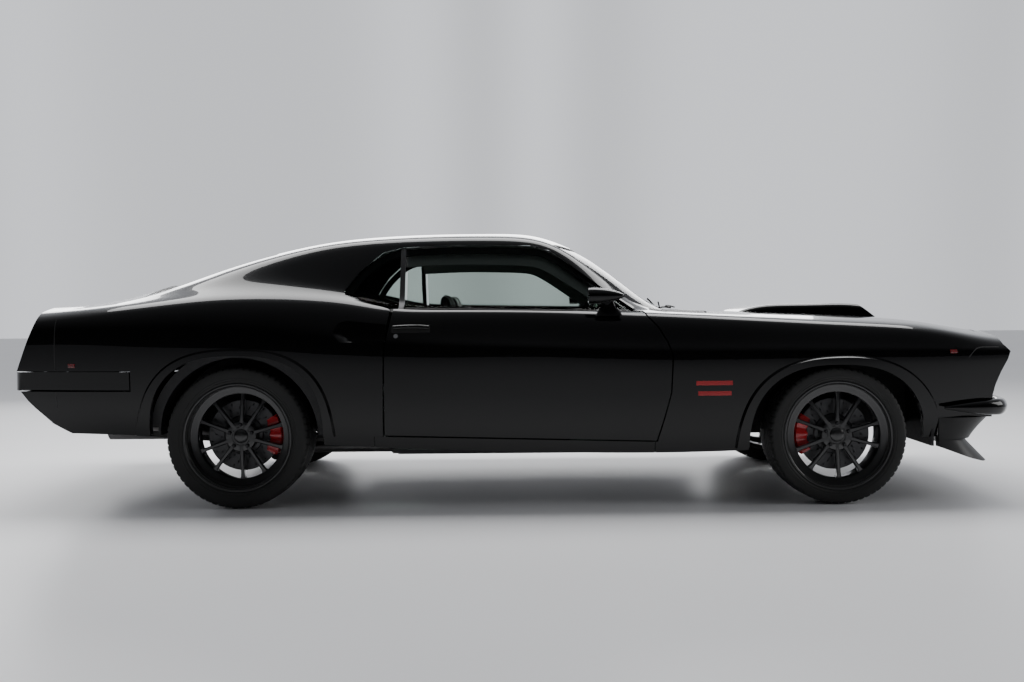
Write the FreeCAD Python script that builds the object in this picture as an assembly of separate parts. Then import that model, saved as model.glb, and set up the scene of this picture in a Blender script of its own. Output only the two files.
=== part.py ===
import FreeCAD, Part
import math
import os

os.makedirs("parts", exist_ok=True)

Vec = FreeCAD.Vector

# Driving dimensions, in mm. +X is forward, +Y is the car's left, +Z is up.
# The origin is on the ground, on the centreline, midway between nose and tail.

FRONT_AXLE_X = 1480.0
REAR_AXLE_X = -1263.0

FRONT_TYRE_RADIUS = 314.0
FRONT_TYRE_WIDTH = 245.0
REAR_TYRE_RADIUS = 325.0
REAR_TYRE_WIDTH = 275.0
WHEEL_OUTER_Y = 860.0
RIM_RADIUS = 247.0
BEAD_RADIUS = 231.0
RIM_WALL = 7.0
FRONT_HUB_RECESS = 34.0
REAR_HUB_RECESS = 78.0
SPOKE_PAIRS = 5
SPOKE_SPREAD_DEG = 31.0
SPOKE_WIDTH = 17.0
SPOKE_DEPTH = 26.0
HUB_RADIUS = 72.0
DISC_RADIUS = 165.0
DISC_THICKNESS = 24.0

SKIN = 30.0
LID_SKIN = 20.0
GLASS_RECESS = 8.0
GLASS = 6.0
PANEL_GAP = 6.0
SEAT_GAP = 0.3

NOSE_BOW = 88.0
TAIL_BOW = 88.0
BOW_HALF_WIDTH = 800.0

KINGPIN_INSET = 30.0

HINGE_PIN_RADIUS = 5.0
HINGE_EYE_RADIUS = 8.5
HINGE_ARM_HALF = 5.5
HINGE_WIDTH = 16.0
HINGE_PLATE = 6.0
HINGE_PLAY = 1.0

DOOR_AXIS_X = 800.0
DOOR_AXIS_Y = 850.0
DOOR_SWING_RADIUS = 86.5
DOOR_HINGE_ZS = (540.0, 650.0)
DOOR_INNER_TOP_Y = 690.0
DOOR_INNER_LOW_Y = 745.0
DOOR_REAR_BEVEL = 20.0
BELT_REAR_Z = 907.0
BELT_FRONT_Z = 884.0
BELT_REAR_X = -558.0
BELT_FRONT_X = 600.0

HOOD_REAR_X = 985.0
HOOD_REAR_CORNER_X = 925.0
HOOD_REAR_HALF = 625.0
HOOD_FRONT_HALF = 585.0
HOOD_FRONT_X = 2305.0
HOOD_FRONT_CORNER_X = 2205.0

HOOD_AXIS_X = 865.0
HOOD_AXIS_Z = 845.0
HOOD_HINGE_Y = 560.0

LID_FRONT_GAP = 12.0
LID_AXIS_X = -1715.0
LID_AXIS_Z = 988.0
LID_HINGE_Y = 255.0
LID_FRONT_X = -1800.0
LID_REAR_X = -2400.0
LID_FRONT_HALF = 600.0
LID_REAR_HALF = 575.0

ENGINE_FRONT_X = 1690.0
ENGINE_REAR_X = 1010.0
GEARBOX_LENGTH = 580.0
RAIL_INNER_Y = 365.0
RAIL_OUTER_Y = 430.0
RAIL_LOW_Z = 330.0
RAIL_TOP_Z = 420.0

STUB_RADIUS = 22.0
FLOOR_Z = 235.0
FLOOR_SHEET = 16.0
TUNNEL_HALF = 140.0
TUNNEL_TOP = 430.0

GRILLE_LOW_Z = 500.0
GRILLE_TOP_Z = 694.0
PLATE_HOLE_PITCH = 177.8
PLATE_HOLE_RADIUS = 3.5
PLATE_Z = 770.0
LAMP_RADIUS = 73.0
LAMP_RIM = 82.0
LAMP_Z = 600.0
OUTER_LAMP_Y = 676.0
INNER_LAMP_Y = 480.0

STEERING_WHEEL_RADIUS = 178.0
STEERING_Y = 370.0


# The body's long lines, from the sill up the side and over to the centreline.
# Each is a list of (x, y, z) that a smooth line runs through.

SILL = [(-2450, 690, 350), (-1900, 800, 342), (-1270, 832, 315), (-600, 838, 273), (640, 836, 240),
        (1480, 812, 262), (1900, 785, 298), (2200, 735, 300), (2450, 690, 315)]
TUCK = [(-2450, 725, 440), (-1900, 836, 440), (-1270, 862, 420), (-600, 866, 400), (640, 864, 380),
        (1480, 842, 385), (1900, 815, 400), (2200, 768, 405), (2450, 720, 410)]
LOW_SIDE = [(-2450, 755, 560), (-1900, 856, 570), (-1270, 880, 565), (-600, 880, 560), (640, 878, 545),
            (1480, 862, 545), (1900, 840, 545), (2200, 796, 545), (2450, 748, 545)]
CREASE = [(-2450, 765, 700), (-1900, 864, 712), (-1270, 890, 724), (-800, 889, 728), (0, 890, 722),
          (640, 888, 702), (1480, 876, 693), (1900, 854, 690), (2200, 812, 686), (2450, 768, 684)]
CREASE_TOP = [(-2450, 766, 770), (-1900, 865, 788), (-1270, 886, 800), (-800, 874, 796), (-300, 866, 770),
              (0, 872, 750), (640, 868, 733), (1480, 857, 723), (1900, 837, 717), (2200, 799, 706),
              (2450, 757, 700)]
UPPER_SIDE = [(-2450, 760, 815), (-1900, 855, 848), (-1270, 868, 880), (-800, 853, 858), (-300, 846, 836),
              (0, 845, 828), (640, 846, 802), (1480, 836, 774), (1900, 820, 760), (2200, 784, 724),
              (2450, 742, 712)]
SHOULDER = [(-2450, 742, 852), (-1900, 828, 903), (-1270, 834, 956), (-800, 824, 934), (-560, 822, 898),
            (0, 822, 892), (640, 822, 868), (1480, 812, 824), (1900, 797, 802), (2200, 760, 746),
            (2450, 720, 722)]
LEDGE = [(-2450, 700, 880), (-1900, 772, 928), (-1270, 772, 990), (-800, 768, 966), (-560, 772, 916),
         (0, 772, 908), (640, 772, 884), (1480, 756, 842), (1900, 738, 818), (2200, 704, 762),
         (2450, 670, 735)]
VALLEY = [(-2450, 650, 896), (-1900, 700, 931), (-1270, 706, 1032), (-800, 714, 1000), (-560, 722, 924),
          (0, 722, 908), (500, 722, 896), (640, 710, 888), (950, 690, 872), (1480, 650, 852),
          (1900, 628, 830), (2200, 604, 776), (2450, 585, 745)]
WAIST = [(-2450, 590, 908), (-1900, 632, 935), (-1270, 652, 1086), (-800, 674, 1085), (-560, 686, 1020),
         (0, 690, 1000), (330, 688, 985), (560, 676, 925), (680, 640, 892), (950, 610, 876),
         (1480, 560, 860), (1900, 530, 836), (2200, 510, 784), (2450, 495, 752)]
DRIP = [(-2450, 520, 918), (-1900, 565, 940), (-1270, 604, 1126), (-800, 600, 1218), (-560, 600, 1228),
        (0, 600, 1226), (150, 604, 1214), (400, 616, 1052), (600, 590, 918), (700, 555, 894),
        (950, 520, 880), (1480, 450, 864), (1900, 420, 840), (2200, 400, 790), (2450, 390, 757)]
ROOF_EDGE = [(-2450, 430, 924), (-2150, 452, 930), (-1900, 472, 950), (-1270, 520, 1143),
             (-800, 545, 1238), (-300, 545, 1262), (0, 545, 1262), (180, 545, 1224), (420, 545, 1085), (650, 510, 922),
             (760, 480, 890), (950, 440, 882), (1480, 330, 867), (1900, 300, 843), (2200, 280, 795),
             (2450, 270, 761)]
ROOF_MID = [(-2450, 240, 928), (-2150, 245, 934), (-1900, 250, 979), (-1270, 280, 1174),
            (-800, 290, 1259), (-300, 290, 1281), (30, 290, 1281), (290, 290, 1205), (560, 290, 1030),
            (735, 285, 906),
            (820, 270, 887), (950, 250, 885), (1480, 180, 869), (1900, 170, 845), (2200, 150, 799),
            (2450, 140, 764)]
CENTRE = [(-2450, 0, 930), (-2150, 0, 937), (-1870, 0, 1020), (-1477, 0, 1138), (-1249, 0, 1204),
          (-1019, 0, 1250), (-800, 0, 1279), (-527, 0, 1294), (-200, 0, 1298), (50, 0, 1296),
          (325, 0, 1214), (607, 0, 1022), (760, 0, 910), (860, 0, 887), (950, 0, 885),
          (1480, 0, 870), (1900, 0, 846), (2150, 0, 812), (2300, 0, 795), (2450, 0, 765)]
LINES = [SILL, TUCK, LOW_SIDE, CREASE, CREASE_TOP, UPPER_SIDE, SHOULDER, LEDGE, VALLEY, WAIST,
         DRIP, ROOF_EDGE, ROOF_MID, CENTRE]

STATIONS = [-2450, -2300, -2130, -1900, -1650, -1400, -1150, -920, -740, -560, -350, -120, 60, 170,
            270, 370, 470, 570, 670, 770, 870, 1000, 1200, 1450, 1700, 1900, 2060, 2190, 2310, 2450]


def smooth_value(points, x):
    """A smooth line without overshoot through (x, value) pairs."""
    if x <= points[0][0]:
        return points[0][1]
    if x >= points[-1][0]:
        return points[-1][1]
    slopes = []
    for (x0, v0), (x1, v1) in zip(points, points[1:]):
        slopes.append((v1 - v0) / (x1 - x0))
    tangents = [slopes[0]]
    for before, after in zip(slopes, slopes[1:]):
        if before * after <= 0:
            tangents.append(0.0)
        else:
            tangents.append(2.0 * before * after / (before + after))
    tangents.append(slopes[-1])
    for i in range(len(slopes)):
        x0, v0 = points[i]
        x1, v1 = points[i + 1]
        if x <= x1:
            span = x1 - x0
            t = (x - x0) / span
            start = v0 * (1 + 2 * t) * (1 - t) ** 2 + tangents[i] * span * t * (1 - t) ** 2
            end = v1 * t * t * (3 - 2 * t) + tangents[i + 1] * span * t * t * (t - 1)
            return start + end
    return points[-1][1]


def section(x, inset):
    """The half section at x as (y, z) points, moved inward by inset."""
    outline = []
    for line in LINES:
        y = smooth_value([(p[0], p[1]) for p in line], x)
        z = smooth_value([(p[0], p[2]) for p in line], x)
        outline.append((y, z))
    if inset == 0:
        return outline
    moved = []
    last = len(outline) - 1
    for i, (y, z) in enumerate(outline):
        before = outline[max(i - 1, 0)]
        after = outline[min(i + 1, last)]
        dy = after[0] - before[0]
        dz = after[1] - before[1]
        size = math.hypot(dy, dz)
        if i == last:
            moved.append((0.0, z - inset))
        elif i == 0:
            moved.append((y - inset, z))
        else:
            moved.append((y - inset * dz / size, z + inset * dy / size))
    return moved


def spline_surface(poles):
    """A cubic surface over a net of poles."""
    surface = Part.BSplineSurface()
    rows = len(poles)
    columns = len(poles[0])
    row_knots = list(range(rows - 2))
    column_knots = list(range(columns - 2))
    row_mults = [4] + [1] * (rows - 4) + [4]
    column_mults = [4] + [1] * (columns - 4) + [4]
    surface.buildFromPolesMultsKnots(poles, row_mults, column_mults, row_knots, column_knots,
                                     False, False, 3, 3)
    return surface


def body_solid(inset):
    """The whole body as a closed solid inside the skin, moved inward by inset."""
    poles = []
    for x in STATIONS:
        half = section(x, inset)
        left = [Vec(x, y, z) for y, z in half]
        right = [Vec(x, -y, z) for y, z in reversed(half[:-1])]
        poles.append(left + right)
    skin = spline_surface(poles).toShape()
    edges = skin.Edges
    ends = [e for e in edges if e.BoundBox.XLength < 1.0]
    sills = [e for e in edges if e.BoundBox.XLength > 1.0]
    faces = [skin]
    for end in ends:
        first = end.Vertexes[0].Point
        second = end.Vertexes[-1].Point
        closing = Part.makeLine(first, second)
        faces.append(Part.Face(Part.Wire([end, closing])))
    faces.append(Part.makeRuledSurface(sills[0], sills[1]))
    shell = Part.makeShell(faces)
    shell.sewShape()
    solid = Part.makeSolid(shell)
    if solid.Volume < 0:
        solid.reverse()
    return solid


# Small tools for outlines and blocks.

def block(x0, x1, y0, y1, z0, z1):
    return Part.makeBox(x1 - x0, y1 - y0, z1 - z0, Vec(x0, y0, z0))


def polygon(points):
    return Part.makePolygon(points + [points[0]])


def prism_y(points, y0, y1):
    """A side outline of (x, z) points, drawn out from y0 to y1."""
    face = Part.Face(polygon([Vec(x, y0, z) for x, z in points]))
    return face.extrude(Vec(0, y1 - y0, 0))


def prism_z(points, z0, z1):
    """A plan outline of (x, y) points, drawn out from z0 to z1."""
    face = Part.Face(polygon([Vec(x, y, z0) for x, y in points]))
    return face.extrude(Vec(0, 0, z1 - z0))


def prism_x(points, x0, x1):
    """A cross section of (y, z) points, drawn out from x0 to x1."""
    face = Part.Face(polygon([Vec(x0, y, z) for y, z in points]))
    return face.extrude(Vec(x1 - x0, 0, 0))


def curve(points):
    """A smooth edge through the points."""
    spline = Part.BSplineCurve()
    spline.interpolate(points)
    return spline.toShape()


def fused(shapes):
    """The shapes joined into one."""
    first = shapes[0]
    if len(shapes) == 1:
        return first
    return first.fuse(shapes[1:])


def largest(shape):
    """The main solid of a cut shape, without the crumbs at its rim."""
    return max(shape.Solids, key=lambda solid: solid.Volume)


def mirrored(shape):
    """The same piece on the right side of the car."""
    return shape.mirror(Vec(0, 0, 0), Vec(0, 1, 0))


def both_sides(shape):
    return Part.makeCompound([shape, mirrored(shape)])


def rod(start, end, radius):
    """A round bar from start to end."""
    run = end - start
    return Part.makeCylinder(radius, run.Length, start, run)


def bent_rod(points, radius):
    """A bar along straight runs, with round elbows."""
    pieces = []
    for start, end in zip(points, points[1:]):
        pieces.append(rod(start, end, radius))
    for corner in points[1:-1]:
        pieces.append(Part.makeSphere(radius, corner))
    return fused(pieces)


def turned(profile, centre_y):
    """A ring about the Y axis from (y, radius) points, with y measured from centre_y."""
    face = Part.Face(polygon([Vec(0, centre_y + y, r) for y, r in profile]))
    return face.revolve(Vec(0, 0, 0), Vec(0, 1, 0), 360)


def arch_cut(centre_x, half, base_z, rise, power, y0, y1):
    """The wheel opening as a solid: a squared-off arch with an open foot."""
    steps = 16
    points = []
    for i in range(steps + 1):
        angle = math.pi * i / steps
        c = math.cos(angle)
        s = math.sin(angle)
        x = centre_x + half * math.copysign(abs(c) ** (2.0 / power), c)
        z = base_z + rise * abs(s) ** (2.0 / power)
        points.append(Vec(x, y0, z))
    top = curve(points)
    foot_front = Vec(points[0].x, y0, -50)
    foot_rear = Vec(points[-1].x, y0, -50)
    rest = Part.makePolygon([points[-1], foot_rear, foot_front, points[0]])
    face = Part.Face(Part.Wire([top] + rest.Edges))
    return face.extrude(Vec(0, y1 - y0, 0))


FRONT_ARCH = (FRONT_AXLE_X + 2, 408.0, 250.0, 388.0, 2.5)
REAR_ARCH = (REAR_AXLE_X - 4, 398.0, 320.0, 381.0, 2.6)
FLARE_WIDTH = 40.0
FLARE_STAND = 16.0
FLARE_ROOT_Y = 820.0
FLARE_Y = 925.0


def bow(y, amount):
    """How far the nose or tail stands out at y, past its corners."""
    share = min(abs(y) / BOW_HALF_WIDTH, 1.2)
    return amount * (1.0 - share ** 1.7)


NOSE_PROFILE = [(2225, 800), (2262, 722), (2292, 690), (2280, 655), (2247, 595), (2222, 535),
                (2211, 490), (2211, 250)]
TAIL_PROFILE = [(-2150, 1000), (-2163, 935), (-2184, 908), (-2240, 770), (-2291, 634), (-2291, 585),
                (-2273, 538), (-2241, 497), (-2208, 464), (-2122, 388), (-2074, 362), (-1990, 320),
                (-1960, 300)]


def end_keep(profile, amount, sign, moved):
    """The space behind the nose profile, or ahead of the tail profile, bowed in plan."""
    wires = []
    for step in range(-4, 5):
        y = step * 250.0
        shift = sign * (bow(y, amount) - moved)
        points = [Vec(x + shift, y, z) for x, z in profile]
        points.append(Vec(0, y, profile[-1][1]))
        points.append(Vec(0, y, profile[0][1]))
        wires.append(polygon(points))
    return Part.makeLoft(wires, True, False)


def nose_keep(moved=0.0):
    profile = [(2225, 1500)] + NOSE_PROFILE + [(2211, -50)]
    return end_keep(profile, NOSE_BOW, 1, moved)


def tail_keep(moved=0.0):
    profile = [(-2150, 1500)] + TAIL_PROFILE + [(-1980, -50)]
    return end_keep(profile, TAIL_BOW, -1, moved)


# Outlines of the panels, as (x, z) in side view or (x, y) in plan.

DOOR_FRONT = [(617, 861), (660, 815), (700, 747), (722, 686), (714, 517), (680, 390), (650, 297)]


def belt_z(x):
    """The height of the door's top at x."""
    share = (x - BELT_REAR_X) / (BELT_FRONT_X - BELT_REAR_X)
    return BELT_REAR_Z + share * (BELT_FRONT_Z - BELT_REAR_Z)


def door_outline(grow):
    """The door in side view, larger all round by grow, with its top at the belt."""
    points = [(BELT_REAR_X - grow, BELT_REAR_Z + grow * 3), (-587 - grow, 724)]
    points += [(-593 - grow, 331 - grow), (650 + grow, 297 - grow)]
    points += [(x + grow, z + (grow * 0.4 if z > 740 else 0.0)) for x, z in reversed(DOOR_FRONT[:-1])]
    points += [(BELT_FRONT_X + grow, BELT_FRONT_Z + grow)]
    return points


WINDOW = [(176, 1180), (97, 1205), (-269, 1211), (-516, 1200), (-617, 1175), (-721, 1084), (-789, 993),
          (-782, 975), (-669, 935), (-579, 910), (-560, 900), (590, 880)]
DIVIDER_REAR_X = -530.0
DIVIDER_FRONT_X = -508.0
DOOR_GLASS_REAR_X = -496.0


def window_cut(grow):
    """The side window opening, drawn through the left side."""
    outline = polygon([Vec(x, 450, z) for x, z in WINDOW])
    if grow:
        outline = outline.makeOffset2D(grow, 2)
    return Part.Face(outline).extrude(Vec(0, 450, 0))


WINDSHIELD_PLAN = [(862, 0), (845, 250), (785, 480), (690, 610), (640, 650), (590, 642), (400, 588),
                   (196, 548), (212, 480), (290, 250), (325, 0)]
REAR_WINDOW_PLAN = [(-1175, 0), (-1170, 300), (-1150, 488), (-1740, 520), (-1765, 300), (-1772, 0)]


def mirrored_plan(half):
    """A full plan outline from its left half, which starts and ends on the centreline."""
    other = [(x, -y) for x, y in reversed(half[1:-1])]
    return half + other


def hood_plan(grow):
    half = [(HOOD_FRONT_X + grow, 0), (HOOD_FRONT_X - 28 + grow, 320)]
    half += [(HOOD_FRONT_CORNER_X + grow, HOOD_FRONT_HALF + grow)]
    half += [(HOOD_REAR_CORNER_X - grow, HOOD_REAR_HALF + grow)]
    half += [(HOOD_REAR_X - 18 - grow, 320), (HOOD_REAR_X - grow, 0)]
    return mirrored_plan(half)


def lid_plan(grow, front=0.0):
    half = [(LID_FRONT_X + front, 0), (LID_FRONT_X + 5 + front, 300)]
    half += [(LID_FRONT_X + 22 + front, LID_FRONT_HALF + grow)]
    half += [(LID_REAR_X - grow, LID_REAR_HALF + grow), (LID_REAR_X - grow, 0)]
    return mirrored_plan(half)


# Hinges: a bent arm on the moving piece, and a pin between two plates on the body.

def strip(points, half):
    """The outline of a bar of even width along a bent line."""
    last = len(points) - 1
    one = []
    other = []
    for i, (u, v) in enumerate(points):
        before = points[max(i - 1, 0)]
        after = points[min(i + 1, last)]
        runs = []
        for a, b in ((before, (u, v)), ((u, v), after)):
            length = math.hypot(b[0] - a[0], b[1] - a[1])
            if length > 0:
                runs.append(((b[0] - a[0]) / length, (b[1] - a[1]) / length))
        du = sum(run[0] for run in runs) / len(runs)
        dv = sum(run[1] for run in runs) / len(runs)
        square = du * du + dv * dv
        one.append((u - half * dv / square, v + half * du / square))
        other.append((u + half * dv / square, v - half * du / square))
    return one + list(reversed(other))


HOOD_ARM = [(0, 0), (30, -50), (80, -55), (104, 16)]
LID_ARM = [(0, 0), (-36, -62), (-100, -72), (-125, -30), (-125, -5)]
DOOR_ARM = [(0, 0), (-10, -80), (-112, -80)]


def lift_arm(x, y, z, path):
    """A hinge arm in side view, whose eye turns on a cross pin at x and z."""
    half = HINGE_WIDTH / 2
    bar = prism_y(strip([(x + dx, z + dz) for dx, dz in path], HINGE_ARM_HALF), y - half, y + half)
    eye = Part.makeCylinder(HINGE_EYE_RADIUS, HINGE_WIDTH, Vec(x, y - half, z), Vec(0, 1, 0))
    bore = Part.makeCylinder(HINGE_PIN_RADIUS + SEAT_GAP, 60, Vec(x, y - 30, z), Vec(0, 1, 0))
    return bar.fuse(eye).cut(bore)


def lift_bracket(x, y, z, z0, z1):
    """Two upright plates either side of the arm, with the pin between them."""
    near = HINGE_WIDTH / 2 + HINGE_PLAY
    far = near + HINGE_PLATE
    plates = []
    for side in (-1, 1):
        low = min(side * near, side * far)
        plates.append(block(x - 12, x + 12, y + low, y + low + HINGE_PLATE, z0, z1))
    pin = rod(Vec(x, y - far, z), Vec(x, y + far, z), HINGE_PIN_RADIUS)
    return fused(plates + [pin])


def door_arm(z0):
    """A door hinge arm in plan, which reaches round the rear edge of the fender."""
    points = [(DOOR_AXIS_X + dx, DOOR_AXIS_Y + dy) for dx, dy in DOOR_ARM]
    bar = prism_z(strip(points, HINGE_ARM_HALF), z0, z0 + HINGE_WIDTH)
    eye = Part.makeCylinder(HINGE_EYE_RADIUS, HINGE_WIDTH, Vec(DOOR_AXIS_X, DOOR_AXIS_Y, z0))
    bore = Part.makeCylinder(HINGE_PIN_RADIUS + SEAT_GAP, 60, Vec(DOOR_AXIS_X, DOOR_AXIS_Y, z0 - 20))
    return bar.fuse(eye).cut(bore)


def door_bracket(z0):
    """Two level plates on the hinge pillar, above and below the arm, with the upright pin."""
    reach = DOOR_AXIS_Y + HINGE_EYE_RADIUS
    low = z0 - HINGE_PLAY - HINGE_PLATE
    high = z0 + HINGE_WIDTH + HINGE_PLAY
    under = block(DOOR_AXIS_X - 9, DOOR_AXIS_X + 9, PILLAR_Y + 4, reach, low, low + HINGE_PLATE)
    over = block(DOOR_AXIS_X - 9, DOOR_AXIS_X + 9, PILLAR_Y + 4, reach, high, high + HINGE_PLATE)
    pin = rod(Vec(DOOR_AXIS_X, DOOR_AXIS_Y, low), Vec(DOOR_AXIS_X, DOOR_AXIS_Y, high + HINGE_PLATE),
              HINGE_PIN_RADIUS)
    return fused([under, over, pin])


def door_hinge_room(z0):
    """The pocket that the hinge needs inside the fender."""
    return block(690, DOOR_AXIS_X + 20, 700, DOOR_AXIS_Y + HINGE_EYE_RADIUS + 4, z0 - 14, z0 + 30)


PILLAR_Y = 744.3
PILLAR_SHEET = 12.0


def hinge_pillar():
    """The cowl side panel that carries the left door's hinges."""
    side = [(728, 289.9), (926, 286.5), (926, 870), (690, 870), (712, 760), (728, 700)]
    plate = prism_y(side, PILLAR_Y, PILLAR_Y + PILLAR_SHEET).common(INNER_SEAT)
    return fused([plate] + [door_bracket(z0) for z0 in DOOR_HINGE_ZS])


# Outer panels.

def cut_all(shape, tools):
    for tool in tools:
        shape = shape.cut(tool)
    return shape


def arch_flare(arch):
    """A lip that stands a little off the skin round a wheel opening."""
    centre_x, half, base_z, rise, power = arch
    wires = []
    for y, grow in ((FLARE_ROOT_Y, FLARE_WIDTH * 1.8), (FLARE_Y, FLARE_WIDTH * 0.2)):
        points = []
        steps = 16
        for i in range(steps + 1):
            angle = math.pi * i / steps
            c = math.cos(angle)
            s = math.sin(angle)
            x = centre_x + (half + grow) * math.copysign(abs(c) ** (2.0 / power), c)
            z = base_z + (rise + grow) * abs(s) ** (2.0 / power)
            points.append(Vec(x, y, z))
        closing = Part.makeLine(points[-1], points[0])
        wires.append(Part.Wire([curve(points), closing]))
    cone = Part.makeLoft(wires, True, True)
    return cone.common(FLARE_SKIN).cut(INNER_SKIN)


def front_fender():
    """The left front fender, from the door to the lamp."""
    region = prism_y([(560, 1000), (560, 150), (2500, 150), (2500, 1000)], 0, 1000)
    region = region.cut(prism_y(door_outline(PANEL_GAP), 0, 1000))
    region = region.cut(block(1955, 2500, 0, 1000, 0, 385))
    region = region.cut(prism_z(hood_plan(PANEL_GAP), 400, 1200))
    region = region.cut(block(500, 2500, 0, HOOD_FRONT_HALF + PANEL_GAP, 0, 1200))
    region = region.cut(cowl_region())
    region = region.cut(block(900, HOOD_REAR_CORNER_X, 0, HOOD_REAR_HALF + PANEL_GAP, 700, 1200))
    region = region.cut(roof_region()).cut(prism_z(mirrored_plan(WINDSHIELD_PLAN), 800, 1400))
    region = region.cut(block(500, 646, 0, 1000, 0, 300))
    shell = OUTER.common(region).common(nose_keep())
    shell = shell.cut(INNER_SKIN)
    bucket = OUTER.common(nose_keep()).cut(nose_keep(70.0))
    bucket = bucket.common(block(2000, 2400, HOOD_FRONT_HALF + SEAT_GAP, 900, 480, 740))
    bucket = bucket.cut(prism_z(hood_plan(PANEL_GAP), 400, 1200))
    hole = Part.makeCylinder(LAMP_RIM + SEAT_GAP, 400, Vec(2050, OUTER_LAMP_Y, LAMP_Z), Vec(1, 0, 0))
    bucket = bucket.cut(hole)
    flare = arch_flare(FRONT_ARCH).common(block(900, 1940, 700, 1000, 258, 900))
    panel = fused([shell, bucket, flare])
    panel = cut_all(panel, [door_hinge_room(z0) for z0 in DOOR_HINGE_ZS])
    return largest(panel.cut(arch_cut(*FRONT_ARCH, 500, 1000)))


def cowl_region():
    """The plan of the cowl, between the hood and the glass, down to the firewall."""
    half = [(HOOD_REAR_X - 2 * PANEL_GAP, 0), (HOOD_REAR_X - 18 - 2 * PANEL_GAP, 320)]
    half += [(HOOD_REAR_CORNER_X - 2 * PANEL_GAP, HOOD_REAR_HALF + 20), (700, 735)]
    half += [(640, 700), (640, 0)]
    return prism_z(mirrored_plan(half), 700, 1000)


def quarter_panel():
    """The left rear quarter, with the sail, the hip and the shallow side scoop."""
    region = block(-2500, -540, 0, 1000, 200, 1400)
    region = region.cut(prism_y(door_outline(PANEL_GAP), 0, 1000))
    region = region.cut(block(-640, -500, 0, 1000, 0, 325))
    region = region.cut(prism_z(lid_plan(PANEL_GAP, LID_FRONT_GAP), 700, 1400))
    region = region.cut(block(-2500, -1900, 0, LID_REAR_HALF + PANEL_GAP, 0, 1400))
    region = region.cut(roof_region())
    region = region.cut(prism_z(mirrored_plan(REAR_WINDOW_PLAN), 900, 1400))
    region = region.cut(prism_z(mirrored_plan([(-1700, 0), (-1700, 480), (-1850, 480), (-1850, 0)]),
                                400, 1400))
    region = region.cut(window_cut(0.0))
    shell = OUTER.common(region).common(tail_keep())
    shell = shell.cut(INNER_SKIN)
    shell = shell.cut(side_scoop())
    shell = shell.cut(block(-2500, -1745, 700, 1000, 540, 634))
    flare = arch_flare(REAR_ARCH).common(block(-1800, -700, 700, 1000, 328, 900))
    cap = OUTER.common(tail_keep()).cut(tail_keep(SKIN))
    cap = cap.common(block(-2500, -1900, LID_REAR_HALF + PANEL_GAP + SEAT_GAP, 900, 400, 1000))
    cap = cap.cut(block(-2500, -1745, 0, 1000, 540, 634))
    cap = cap.cut(prism_z(lid_plan(PANEL_GAP, LID_FRONT_GAP), 700, 1400))
    panel = fused([shell, flare, cap])
    return largest(panel.cut(arch_cut(*REAR_ARCH, 500, 1000)))


def side_scoop():
    """The recess behind the door handle, deepest at its open front."""
    outline = [(-575, 745), (-575, 885), (-640, 900), (-800, 895), (-862, 850), (-866, 790),
               (-820, 748)]
    wires = []
    for y, shift in ((905, 0.0), (852, 24.0)):
        points = []
        for x, z in outline:
            inward = shift if x < -700 else 0.0
            points.append(Vec(x + inward * 3, y, 820 + (z - 820) * (1 - shift / 90)))
        wires.append(polygon(points))
    return Part.makeLoft(wires, True, True)


def roof_region():
    """The space of the roof panel, pillars and window frames."""
    side = prism_y([(-720, 1120), (-560, 1120), (0, 1100), (420, 960), (560, 893), (640, 890),
                    (640, 1400), (-720, 1400)], -1000, 1000)
    half = [(-700, 0), (-700, 590), (-1165, 530), (-1165, 0)]
    back = prism_z(mirrored_plan(half), 900, 1400)
    return side.fuse(back)


def roof_panel():
    shell = OUTER.common(roof_region()).cut(INNER_SKIN)
    opening = prism_z(mirrored_plan(WINDSHIELD_PLAN), 860, 1400)
    shell = shell.cut(opening)
    shell = shell.cut(prism_z(mirrored_plan(REAR_WINDOW_PLAN), 900, 1400))
    shell = shell.cut(window_cut(0.0))
    shell = shell.cut(mirrored(window_cut(0.0)))
    return largest(shell)


def glass_sheet():
    return GLASS_OUTER.cut(GLASS_INNER)


def windshield():
    return glass_sheet().common(prism_z(mirrored_plan(WINDSHIELD_PLAN), 860, 1400))


def rear_window():
    return glass_sheet().common(prism_z(mirrored_plan(REAR_WINDOW_PLAN), 900, 1400))


def quarter_glass():
    opening = window_cut(-SEAT_GAP).cut(prism_y(door_outline(PANEL_GAP), 0, 1000))
    pane = GLASS_OUTER.cut(GLASS_INNER).common(opening).common(block(-900, DIVIDER_REAR_X, 0, 900, 0, 1400))
    bar = GLASS_OUTER.cut(INNER_SKIN).common(opening)
    bar = bar.common(block(DIVIDER_REAR_X, DIVIDER_FRONT_X, 0, 900, 900, 1400))
    return both_sides(largest(fused([pane, bar])))


def door_glass():
    """The left door glass, frameless, standing on the door's top."""
    outline = [(166, 1170), (92, 1195), (-269, 1201), (DOOR_GLASS_REAR_X, 1190)]
    outline += [(DOOR_GLASS_REAR_X, belt_z(DOOR_GLASS_REAR_X) + SEAT_GAP), (560, belt_z(560) + SEAT_GAP)]
    return glass_sheet().common(prism_y(outline, 450, 900))


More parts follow.
